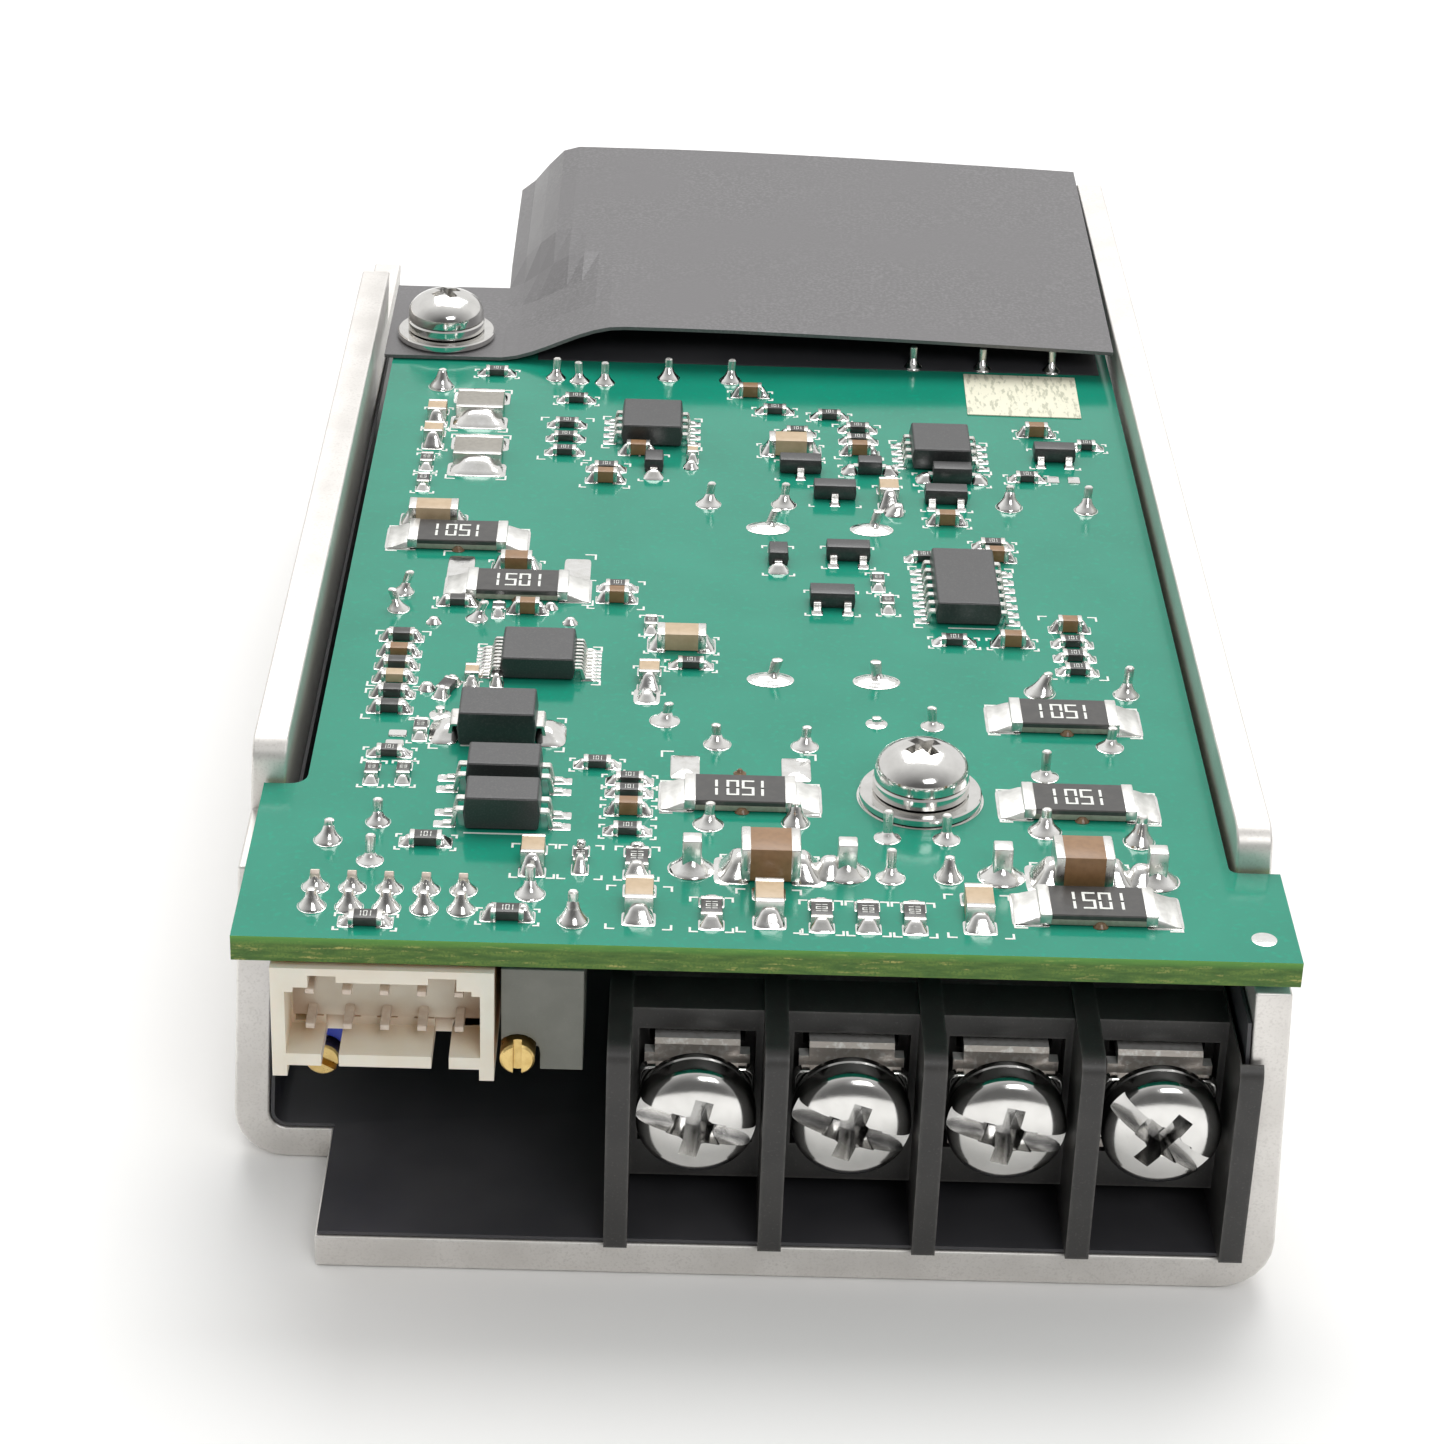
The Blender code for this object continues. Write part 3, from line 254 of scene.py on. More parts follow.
class Finish:
    """A node material with colour variation, grain and a fine relief, all from object coordinates."""

    def __init__(self, name, colour, roughness, metallic=0.0):
        self.material = bpy.data.materials.new(name)
        self.material.use_nodes = True
        self.tree = self.material.node_tree
        self.shader = self.tree.nodes["Principled BSDF"]
        self.shader.inputs["Metallic"].default_value = metallic
        self.coordinates = self.node("ShaderNodeTexCoord").outputs["Object"]
        self.colour = self.plain_colour(colour)
        self.roughness = self.plain_value(roughness)
        self.height = None

    def node(self, kind, **settings):
        made = self.tree.nodes.new(kind)
        for key, value in settings.items():
            setattr(made, key, value)
        return made

    def link(self, source, target):
        self.tree.links.new(source, target)

    def plain_colour(self, colour):
        made = self.node("ShaderNodeRGB")
        made.outputs[0].default_value = (*colour, 1.0)
        return made.outputs[0]

    def plain_value(self, value):
        made = self.node("ShaderNodeValue")
        made.outputs[0].default_value = value
        return made.outputs[0]

    def noise(self, size, detail=3.0, stretch=(1, 1, 1)):
        """Noise from 0 to 1 whose features are about `size` millimetres across."""
        mapping = self.node("ShaderNodeMapping")
        mapping.inputs["Scale"].default_value = stretch
        self.link(self.coordinates, mapping.inputs["Vector"])
        made = self.node("ShaderNodeTexNoise")
        made.inputs["Scale"].default_value = 1 / (size * MM)
        made.inputs["Detail"].default_value = detail
        self.link(mapping.outputs[0], made.inputs["Vector"])
        return made.outputs["Fac"]

    def ramp(self, factor, low, high):
        """Stretch the part of a 0 to 1 value between low and high to the whole range."""
        made = self.node("ShaderNodeMapRange")
        made.inputs["From Min"].default_value = low
        made.inputs["From Max"].default_value = high
        self.link(factor, made.inputs["Value"])
        return made.outputs["Result"]

    def math(self, operation, first, second):
        made = self.node("ShaderNodeMath", operation=operation)
        for socket, value in zip(made.inputs, (first, second)):
            if isinstance(value, (int, float)):
                socket.default_value = value
            else:
                self.link(value, socket)
        return made.outputs[0]

    def mixed(self, factor, first, second):
        """Colour mix, where each end is a socket or an (r, g, b)."""
        made = self.node("ShaderNodeMix", data_type="RGBA")
        self.link(factor, made.inputs["Factor"])
        ends = [socket for socket in made.inputs if socket.type == "RGBA"]
        for socket, value in zip(ends, (first, second)):
            if isinstance(value, tuple):
                socket.default_value = (*value, 1.0)
            else:
                self.link(value, socket)
        return [socket for socket in made.outputs if socket.type == "RGBA"][0]

    def mottle(self, size, colour, low=0.4, high=0.7, stretch=(1, 1, 1), detail=3.0):
        """Blend towards another colour in patches."""
        factor = self.ramp(self.noise(size, detail, stretch), low, high)
        self.colour = self.mixed(factor, self.colour, colour)
        return self

    def uneven(self, size, amount, stretch=(1, 1, 1)):
        """Make the roughness vary by up to the amount each way."""
        swing = self.math("MULTIPLY", self.math("SUBTRACT", self.noise(size, 3.0, stretch), 0.5), 2 * amount)
        self.roughness = self.math("ADD", self.roughness, swing)
        return self

    def relief(self, size, depth, stretch=(1, 1, 1), detail=3.0):
        """Add bumps of this size and depth, in millimetres."""
        raised = self.math("MULTIPLY", self.noise(size, detail, stretch), depth * MM)
        self.height = raised if self.height is None else self.math("ADD", self.height, raised)
        return self

    def edges(self, radius, colour, amount=0.6):
        """Lighten the edges in patches: partly wear, and partly a painted highlight where the edges catch the light.
        """
        rounded = self.node("ShaderNodeBevel", samples=4)
        rounded.inputs["Radius"].default_value = radius * MM
        true_normal = self.node("ShaderNodeNewGeometry").outputs["Normal"]
        dot = self.node("ShaderNodeVectorMath", operation="DOT_PRODUCT")
        self.link(rounded.outputs[0], dot.inputs[0])
        self.link(true_normal, dot.inputs[1])
        bent = self.math("SUBTRACT", 1.0, dot.outputs["Value"])
        worn_and_lit_edges = self.math("MULTIPLY", self.ramp(bent, 0.02, 0.25), self.ramp(self.noise(0.5), 0.2, 0.6))
        self.colour = self.mixed(self.math("MULTIPLY", worn_and_lit_edges, amount), self.colour, colour)
        return self

    def painted_hollow_shade(self, reach, colour):
        """Painted shade: blend towards another colour where other surfaces stand within `reach` millimetres."""
        near = self.node("ShaderNodeAmbientOcclusion", samples=8)
        near.inputs["Distance"].default_value = reach * MM
        hollow_shade = self.ramp(self.math("SUBTRACT", 1.0, near.outputs["AO"]), 0.35, 0.85)
        self.colour = self.mixed(hollow_shade, self.colour, colour)
        return self

    def made(self, **inputs):
        self.link(self.colour, self.shader.inputs["Base Color"])
        self.link(self.roughness, self.shader.inputs["Roughness"])
        if self.height is not None:
            bump = self.node("ShaderNodeBump")
            bump.inputs["Distance"].default_value = 1.0
            self.link(self.height, bump.inputs["Height"])
            self.link(bump.outputs[0], self.shader.inputs["Normal"])
        for key, value in inputs.items():
            self.shader.inputs[key.replace("_", " ")].default_value = value
        return self.material

    def facing(self, axis):
        """How far the surface faces along an axis, as an absolute value from 0 to 1."""
        split = self.node("ShaderNodeSeparateXYZ")
        self.link(self.node("ShaderNodeNewGeometry").outputs["True Normal"], split.inputs[0])
        return self.math("ABSOLUTE", split.outputs[axis], 0.0)

    def place(self, axis):
        """The object coordinate along an axis, in metres."""
        split = self.node("ShaderNodeSeparateXYZ")
        self.link(self.coordinates, split.inputs[0])
        return split.outputs[axis]


def board_finish():
    """Glossy green solder mask on the faces, and the cut glass laminate on the edges."""
    finish = Finish("board_mask_and_laminate", (0.014, 0.270, 0.178), 0.13)
    finish.mottle(6.0, (0.010, 0.238, 0.155), 0.35, 0.75)
    finish.mottle(0.35, (0.004, 0.300, 0.190), 0.55, 0.75)
    mask_colour = finish.colour
    finish.colour = finish.plain_colour((0.120, 0.215, 0.030))
    finish.mottle(0.5, (0.045, 0.120, 0.012), 0.40, 0.60, (0.25, 0.25, 1.6))
    finish.mottle(0.45, (0.420, 0.400, 0.110), 0.60, 0.72, (0.30, 0.30, 2.0))
    finish.mottle(0.16, (0.060, 0.150, 0.020), 0.45, 0.65)
    level = finish.ramp(finish.place("Z"), BOARD_TOP - 0.5 * MM, BOARD_TOP)
    finish.colour = finish.mixed(level, finish.colour, (0.110, 0.330, 0.050))
    flat = finish.ramp(finish.facing("Z"), 0.4, 0.6)
    finish.colour = finish.mixed(flat, finish.colour, mask_colour)
    finish.roughness = finish.math("SUBTRACT", 0.55, finish.math("MULTIPLY", flat, 0.42))
    finish.uneven(1.5, 0.02)
    finish.relief(0.9, 0.004).relief(0.12, 0.0015)
    return finish.made()


def aluminium_finish():
    """Fine blasted sheet whose edges are lightened, partly as wear and partly as painted highlight."""
    finish = Finish("aluminium_sheet", (0.80, 0.775, 0.745), 0.44, 0.78)
    finish.mottle(3.5, (0.71, 0.685, 0.655), 0.4, 0.7)
    finish.mottle(0.15, (0.67, 0.645, 0.615), 0.50, 0.75)
    finish.uneven(0.6, 0.05)
    finish.relief(0.10, 0.005).relief(0.5, 0.004)
    finish.edges(0.35, (0.92, 0.91, 0.89), 0.6)
    return finish.made()


def ivory_finish():
    """Moulded nylon that turns warmer and darker where light bounces about inside the socket."""
    finish = Finish("ivory_nylon", (0.860, 0.800, 0.670), 0.40)
    finish.mottle(2.0, (0.830, 0.750, 0.610))
    # painted shade and painted bounce light: darker, warmer colour in the socket's hollows
    finish.painted_hollow_shade(2.6, (0.600, 0.420, 0.290))
    return finish.relief(0.2, 0.003).made(Subsurface_Weight=0.15)


def contact_finish():
    """Tinned strip: bright on its flat top, dull and brownish on the faces that point along Y."""
    finish = Finish("tinned_contact", (0.93, 0.92, 0.90), 0.26, 0.45)
    finish.mottle(0.6, (0.86, 0.84, 0.81), 0.5, 0.75)
    y_facing = finish.ramp(finish.facing("Y"), 0.4, 0.7)
    finish.colour = finish.mixed(y_facing, finish.colour, (0.560, 0.500, 0.455))
    finish.mottle(0.35, (0.780, 0.750, 0.715), 0.50, 0.70)
    finish.roughness = finish.math("ADD", 0.20, finish.math("MULTIPLY", y_facing, 0.22))
    return finish.relief(0.12, 0.008).uneven(0.4, 0.06).made()


def simple_finishes():
    """The finishes that need only a colour, patches, grain and relief."""
    return {
        "film": Finish("insulation_film", (0.050, 0.050, 0.056), 0.46).mottle(
            8.0, (0.070, 0.069, 0.075)).uneven(3.0, 0.06).relief(0.15, 0.003).relief(9.0, 0.05).made(),
        "cover": Finish("cover_film", (0.128, 0.124, 0.127), 0.34).mottle(
            0.22, (0.178, 0.173, 0.177), 0.45, 0.65).mottle(9.0, (0.142, 0.137, 0.141)).relief(
            0.16, 0.006).uneven(4.0, 0.04).made(),
        # black nylon: its edges lightened, partly as wear and partly as a painted highlight
        "black": Finish("black_nylon", (0.034, 0.033, 0.032), 0.42).mottle(
            2.5, (0.044, 0.042, 0.040)).mottle(0.12, (0.080, 0.076, 0.072), 0.60, 0.80).relief(
            0.15, 0.008).uneven(1.2, 0.08).edges(0.3, (0.130, 0.125, 0.118), 0.8).made(),
        "nickel": Finish("bright_nickel", (0.78, 0.77, 0.75), 0.13, 1.0).mottle(
            1.2, (0.70, 0.69, 0.67)).mottle(0.10, (0.50, 0.48, 0.46), 0.68, 0.80).uneven(
            0.5, 0.05).relief(0.6, 0.003).relief(0.08, 0.0012).made(),
        # terminal screws: painted shade darkens the slot and the recess
        "screw": Finish("terminal_screw_nickel", (0.80, 0.79, 0.77), 0.15, 1.0).mottle(
            1.2, (0.72, 0.71, 0.69)).mottle(0.10, (0.56, 0.54, 0.52), 0.68, 0.80).painted_hollow_shade(
            1.6, (0.100, 0.100, 0.105)).uneven(0.5, 0.05).relief(0.6, 0.003).relief(0.08, 0.0012).made(),
        "pin": Finish("socket_pin", (0.620, 0.520, 0.440), 0.38, 0.35).mottle(
            0.5, (0.700, 0.620, 0.540)).relief(0.1, 0.003).made(),
        "tin": Finish("tinned_sheet", (0.80, 0.79, 0.765), 0.30, 1.0).mottle(
            0.8, (0.66, 0.64, 0.60)).relief(0.12, 0.010, (1, 1, 0.5)).uneven(0.3, 0.1).made(),
        "solder": Finish("solder", (0.88, 0.875, 0.86), 0.14, 1.0).mottle(
            0.7, (0.78, 0.77, 0.74)).uneven(0.5, 0.05).relief(0.35, 0.008).relief(0.07, 0.002).made(),
        "brass": Finish("brass", (0.760, 0.560, 0.230), 0.30, 1.0).mottle(
            0.5, (0.640, 0.440, 0.160)).relief(0.12, 0.004, (0.3, 1, 1)).uneven(0.3, 0.08).made(),
        "grey": Finish("grey_plastic", (0.150, 0.154, 0.132), 0.50).mottle(
            1.5, (0.174, 0.178, 0.154)).mottle(0.08, (0.200, 0.200, 0.190), 0.6, 0.8).relief(
            0.08, 0.003).made(),
        "blue": Finish("blue_plastic", (0.020, 0.040, 0.400), 0.36).mottle(
            1.5, (0.025, 0.055, 0.460)).relief(0.1, 0.003).made(),
        "chip": Finish("moulded_epoxy", (0.024, 0.024, 0.025), 0.38).mottle(
            0.10, (0.060, 0.059, 0.058), 0.5, 0.75).relief(0.06, 0.004).uneven(0.8, 0.04).made(
            Specular_IOR_Level=0.85),
        "glaze": Finish("resistor_glaze", (0.050, 0.048, 0.046), 0.30).mottle(
            0.5, (0.065, 0.062, 0.058)).relief(0.4, 0.008).made(),
        "alumina": Finish("alumina_edge", (0.300, 0.330, 0.260), 0.5).mottle(
            0.3, (0.240, 0.260, 0.200)).relief(0.1, 0.004).made(),
        "slate": Finish("grey_ceramic", (0.320, 0.300, 0.262), 0.42).mottle(
            0.3, (0.270, 0.252, 0.220)).relief(0.1, 0.004).made(),
        "beige": Finish("beige_ceramic", (0.560, 0.420, 0.270), 0.36).mottle(
            0.4, (0.500, 0.370, 0.230)).relief(0.1, 0.003).made(),
        "brown": Finish("brown_ceramic", (0.300, 0.165, 0.075), 0.36).mottle(
            0.4, (0.250, 0.135, 0.060)).relief(0.1, 0.003).made(),
        "white": Finish("white_ink", (0.820, 0.830, 0.790), 0.55).mottle(
            0.15, (0.640, 0.690, 0.630), 0.5, 0.75).relief(0.1, 0.002).made(),
        "sleeve": Finish("capacitor_sleeve", (0.018, 0.018, 0.024), 0.30).mottle(
            3.0, (0.026, 0.026, 0.034)).relief(0.5, 0.006).made(),
        "ferrite": Finish("ferrite", (0.045, 0.044, 0.046), 0.55).mottle(
            1.0, (0.060, 0.058, 0.058)).relief(0.2, 0.02).made(),
        "matt_tin": Finish("matt_tinned_cap", (0.78, 0.775, 0.75), 0.40, 1.0).mottle(
            0.5, (0.66, 0.655, 0.63)).uneven(0.4, 0.06).relief(0.15, 0.006).made(),
        "flux": Finish("flux_residue", (0.160, 0.090, 0.045), 0.25).mottle(
            0.3, (0.240, 0.150, 0.080)).relief(0.1, 0.004).made(),
        "rubber": Finish("thermal_rubber", (0.330, 0.340, 0.360), 0.75).mottle(
            0.8, (0.290, 0.300, 0.320)).relief(0.25, 0.015).made(),
    }


def label_finish():
    """Cream paper with a faint grey speckle in rows, which spells nothing."""
    finish = Finish("label_paper", (0.800, 0.780, 0.620), 0.6)
    finish.mottle(0.35, (0.520, 0.520, 0.400), 0.52, 0.62, (1.4, 0.35, 1), 4.0)
    return finish.relief(0.2, 0.004).made()


def make_finishes():
    finishes = simple_finishes()
    finishes["board"] = board_finish()
    finishes["aluminium"] = aluminium_finish()
    finishes["label"] = label_finish()
    finishes["ivory"] = ivory_finish()
    finishes["contact"] = contact_finish()
    return finishes


# ---------------------------------------------------------------- shapes of the small parts, in millimetres


@functools.cache
def solder_heap(half_x, half_y, height, squareness=0.6, lean_x=0.0, lean_y=0.0):
    """A smooth fillet of solder with a hollow flank."""
    flank = ((1.0, 0.0), (0.97, 0.10), (0.86, 0.26), (0.72, 0.46), (0.60, 0.68), (0.48, 0.86), (0.30, 0.97), (0, 1.0))
    profile = [(share, level * height) for share, level in flank]
    return mound(half_x, half_y, profile, squareness, (lean_x, lean_y), 20)


@functools.cache
def solder_cone(radius, height, lean_x=0.0, lean_y=0.0):
    """The joint round a lead: a flat skirt, then a hollow cone up the lead."""
    flank = ((1.0, 0.0), (0.99, 0.05), (0.90, 0.14), (0.74, 0.27), (0.58, 0.44), (0.46, 0.64), (0.38, 0.84),
             (0.27, 0.97), (0, 1.0))
    profile = [(share, level * height) for share, level in flank]
    return mound(radius, radius, profile, 1.0, (lean_x, lean_y), 24)


@functools.cache
def solder_ramp(length, width, height):
    """Solder that falls away evenly from a terminal at y = 0, along +Y."""
    outline = [(-0.15, 0), (length, 0), (length, 0.03), (length * 0.72, 0.10), (length * 0.42, height * 0.52),
               (length * 0.16, height * 0.84), (-0.15, height)]
    work = prism_work(outline, width / 2)
    for vert in work.verts:
        vert.co.x *= 1 - 0.10 * vert.co.z / height
    return Shape(bevel_work(work, 0.03))


@functools.cache
def flat_pad(half_x, half_y, height=0.05, squareness=0.25):
    profile = ((1.0, 0.0), (0.99, height * 0.6), (0.93, height), (0, height * 1.1))
    return mound(half_x, half_y, profile, squareness, (0.0, 0.0), 24)


@functools.cache
def cut_lead(radius, length, lean_x=0.0, lean_y=0.0):
    """A clipped wire end: round, a little wider where the cutter pinched it, with a slanting tip."""
    profile = ((1.0, 0.0), (0.96, length * 0.5), (1.04, length * 0.84), (0.98, length * 0.96), (0.70, length), (0, length))
    return mound(radius, radius * 0.8, profile, 0.85, (lean_x, lean_y), 12)


@functools.cache
def rounded_block(width, depth, height, edge):
    return block(width, depth, height, edge)


@functools.cache
def moulded_block(width, depth, height, edge=0.05):
    """A moulded body whose sides slope in above and below the mould line."""
    draft = 0.07
    middle = height * 0.5
    half = depth / 2
    outline = [(-half + draft, 0), (half - draft, 0), (half, middle), (half - draft, height),
               (-half + draft, height), (-half, middle)]
    work = prism_work(outline, width / 2)
    for vert in work.verts:
        if abs(vert.co.z - middle) > 1e-6:
            vert.co.x -= math.copysign(draft, vert.co.x)
    return Shape(bevel_work(work, edge))


@functools.cache
def gull_lead(rise, reach, width, thickness=0.15):
    """A lead that leaves a chip's side, turns down and ends in a foot. It points along +Y."""
    shoulder = reach * 0.32
    heel = reach * 0.52
    outline = [(-0.1, rise - thickness / 2), (shoulder - 0.04, rise - thickness / 2),
               (heel - 0.12, 0.04 + thickness * 0.3), (heel, 0.02), (reach, 0.02),
               (reach, 0.02 + thickness), (heel + 0.10, 0.04 + thickness),
               (shoulder + thickness, rise - 0.02), (shoulder + 0.05, rise + thickness / 2),
               (-0.1, rise + thickness / 2)]
    return Shape(bevel_work(prism_work(outline, width / 2), 0.02, 1))


@functools.cache
def stroke(length, width, height=0.012):
    """A printed line along X."""
    work = block_work(length, width, height)
    return Shape(work)


DIGIT_STROKES = {
    "0": "top high_left high_right low_left low_right bottom",
    "1": "high_stem low_stem",
    "5": "top high_left middle low_right bottom",
}
STROKE_PLACES = {
    "top": (0, 0.5, 0), "middle": (0, 0, 0), "bottom": (0, -0.5, 0),
    "high_left": (-0.5, 0.25, 90), "high_right": (0.5, 0.25, 90),
    "low_left": (-0.5, -0.25, 90), "low_right": (0.5, -0.25, 90),
    "high_stem": (0.1, 0.25, 90), "low_stem": (0.1, -0.25, 90),
}


class Kit:
    """The joined pieces that stand on the board, one for each kind of thing."""

    def __init__(self, finishes):
        kinds = {
            "solder_joints": ("solder", "nickel"),
            "bare_pads": ("solder", "nickel"),
            "chip_terminals": ("tin", "nickel"),
            "resistor_terminals": ("matt_tin", "nickel"),
            "solder_ramps": ("matt_tin", "nickel"),
            "lead_ends": ("tin", "nickel"),
            "chip_leads": ("tin", "nickel"),
            "resistor_bodies": ("glaze", "resistor"),
            "beige_capacitor_bodies": ("beige", "resistor"),
            "brown_capacitor_bodies": ("brown", "resistor"),
            "grey_chip_bodies": ("slate", "resistor"),
            "transistor_bodies": ("chip", "chip_black"),
            "resistor_substrates": ("alumina", "resistor"),
            "silkscreen_lines": ("white", "board"),
            "value_codes": ("white", "resistor"),
            "flux_residue": ("flux", "resistor"),
        }
        self.pieces = {name: Piece(name, finishes[finish], slot) for name, (finish, slot) in kinds.items()}

    def put(self, kind, shape, x, y, z=0.0, turn=0.0):
        self.pieces[kind].stamp(shape, on_board(x, y, z, turn))

    def finished(self):
        for piece in self.pieces.values():
            if piece.faces:
                piece.finished()

    # -- printing

    def brackets(self, x_low, x_high, y_low, y_high, arm=0.45):
        """The printed corners that frame a part."""
        line = 0.13
        for x, x_side in ((x_low, 1), (x_high, -1)):
            for y, y_side in ((y_low, 1), (y_high, -1)):
                self.put("silkscreen_lines", stroke(arm, line, 0.017), x + x_side * (arm - line) / 2, y)
                self.put("silkscreen_lines", stroke(arm, line), x, y + y_side * (arm - line) / 2, 0, 90)

    def code(self, text, x, y, z, height, turn=0):
        """A value code drawn in plain strokes."""
        narrow = 0.36
        step = height * 0.56
        line = height * 0.10
        place = on_board(x, y, z, turn)
        for k, digit in enumerate(text):
            centre = (k - (len(text) - 1) / 2) * step
            for name in DIGIT_STROKES[digit].split():
                across, along, angle = STROKE_PLACES[name]
                length = height * (0.5 if angle else narrow) + line
                spot = Matrix.Translation((centre + across * height * narrow, along * height, 0))
                shape = stroke(round(length, 4), round(line, 4), 0.012 if angle else 0.017)
                self.pieces["value_codes"].stamp(shape, place @ spot @ Matrix.Rotation(math.radians(angle), 4, "Z"))

    # -- joints of leads

    def pin_joint(self, x, y, radius=0.70, height=0.95, lead=1.3, lean=(0.0, 0.0), wire=0.28):
        """A lead's end in its cone of solder. A lead length of 0 leaves the cone alone."""
        self.put("bare_pads", flat_pad(radius * 1.06, radius * 1.06, 0.03, 1.0), x, y)
        share = height / lead if lead else 0
        self.put("solder_joints", solder_cone(radius, height, lean[0] * share, lean[1] * share), x, y, 0.02)
        if lead:
            self.put("lead_ends", cut_lead(wire, lead, lean[0], lean[1]), x, y, 0.02)

    def oval_joint(self, x, y, half_x=1.45, half_y=0.98, lean=0.5):
        """A wide oval pad with a bent lead in it."""
        self.put("bare_pads", flat_pad(half_x, half_y, 0.06, 1.0), x, y)
        self.put("solder_joints", solder_heap(half_x * 0.94, half_y * 0.9, 0.28, 1.0), x, y, 0.04)
        self.put("solder_joints", solder_cone(0.52, 0.9, lean * 0.5, 0.1), x + 0.1, y + 0.1, 0.05)
        self.put("lead_ends", cut_lead(0.34, 1.25, lean, 0.15), x + 0.05, y + 0.1, 0.05)

    # -- two-terminal chips

    def chip(self, kind, x, y, size, turn=0.0, cap=0.3, heap=0.85, framed=True, code=None, reach=0.55):
        """A chip whose terminals lie along its own X: body, end caps and a fillet of solder at each end."""
        length, width, height = size
        lift = 0.06
        body = rounded_block(round(length - 1.2 * cap, 3), width, height, 0.03)
        self.put(kind, body, x, y, lift, turn)
        middle = on_board(x, y, 0, turn)
        for side in (-1, 1):
            end = rounded_block(cap, width + 0.05, height + 0.04, 0.06)
            spot = middle @ Matrix.Translation((side * (length - cap) / 2, 0, lift - 0.02))
            self.pieces["chip_terminals"].stamp(end, spot)
            half = (reach + cap) / 2
            lean = -side * 0.45 * half
            fillet = solder_heap(half, width * 0.56, height * heap, 0.55, lean, 0.0)
            spot = middle @ Matrix.Translation((side * (length / 2 + reach / 2 - cap / 2), 0, 0.02))
            self.pieces["solder_joints"].stamp(fillet, spot)
            spot = middle @ Matrix.Translation((side * (length / 2 + reach / 2 - cap / 2), 0, 0))
            self.pieces["bare_pads"].stamp(flat_pad(half * 1.12, width * 0.62, 0.03), spot)
        if code:
            self.code(code, x, y, lift + height, width * 0.5, turn)
        if framed:
            half_x, half_y = length / 2 + reach + 0.22, width / 2 + 0.35
            if turn:
                half_x, half_y = half_y, half_x
            self.brackets(x - half_x, x + half_x, y - half_y, y + half_y, 0.38)

    def resistor(self, x, y, turn=0.0, size=(1.6, 0.8, 0.45), **options):
        self.chip("resistor_bodies", x, y, size, turn, code="101", **options)

    def beige(self, x, y, turn=0.0, size=(1.6, 0.8, 0.8), **options):
        self.chip("beige_capacitor_bodies", x, y, size, turn, **options)

    def brown(self, x, y, turn=0.0, size=(1.6, 0.8, 0.8), **options):
        self.chip("brown_capacitor_bodies", x, y, size, turn, **options)

    # -- moulded parts with leads

    def lead_pair(self, x, y, turn, rise, reach, width):
        """One lead and the solder at its foot, pointing away from the chip."""
        self.put("chip_leads", gull_lead(rise, reach, width), x, y, 0, turn)
        foot = on_board(x, y, 0, turn)
        spot = foot @ Matrix.Translation((0, reach * 0.86, 0.01))
        self.pieces["solder_joints"].stamp(solder_heap(width * 0.72, reach * 0.42, 0.20, 0.5, 0.0, -0.08), spot)
        self.pieces["bare_pads"].stamp(flat_pad(width * 0.78, reach * 0.55, 0.03), foot @ Matrix.Translation(
            (0, reach * 0.92, 0)))

    def transistor(self, x, y, front_leads, rear_leads, width=2.9, depth=1.35, height=1.0, framed=True):
        """A small moulded transistor with leads towards the front and the back."""
        self.put("transistor_bodies", moulded_block(width, depth, height), x, y, 0.08)
        for offset in front_leads:
            self.lead_pair(x + offset, y - depth / 2, 180, 0.5, 0.62, 0.46)
        for offset in rear_leads:
            self.lead_pair(x + offset, y + depth / 2, 0, 0.5, 0.62, 0.46)
        if framed:
            self.brackets(x - width / 2 - 0.25, x + width / 2 + 0.25, y - depth / 2 - 0.95, y + depth / 2 + 0.95, 0.4)

    def diode(self, x, y, turn, length=1.8, width=1.3, height=0.95, front_heap=True):
        """A small moulded diode with a lead at each end."""
        self.put("transistor_bodies", moulded_block(length, width, height), x, y, 0.06, turn)
        middle = on_board(x, y, 0, turn)
        for side in (-1, 1):
            quarter = Matrix.Rotation(math.radians(-90 * side), 4, "Z")
            start = middle @ Matrix.Translation((side * length / 2, 0, 0)) @ quarter
            self.pieces["chip_leads"].stamp(gull_lead(0.45, 0.60, 0.5), start)
            spot = middle @ Matrix.Translation((side * (length / 2 + 0.55), 0, 0.01))
            tall = 0.5 if front_heap else 0.25
            self.pieces["solder_joints"].stamp(solder_heap(0.55, width * 0.52, tall, 0.5, -side * 0.2, 0.0), spot)
        reach_x, reach_y = length / 2 + 1.25, width / 2 + 0.35
        if turn:
            reach_x, reach_y = reach_y, reach_x
        self.brackets(x - reach_x, x + reach_x, y - reach_y, y + reach_y, 0.4)

    def chip_sides(self, node, count, pitch, width, reach, rise=0.75, turn=90):
        """Rows of leads down both long sides of a chip that the CAD holds."""
        low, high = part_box(node)
        centre = (low + high) / 2
        y_middle = (centre.y - FRONT_EDGE) / MM
        for side, x_edge in ((-1, low.x / MM), (1, high.x / MM)):
            for k in range(count):
                y = y_middle + (k - (count - 1) / 2) * pitch
                self.lead_pair(x_edge, y, -90 * side, rise, reach, width)


# ---------------------------------------------------------------- what stands where on the board


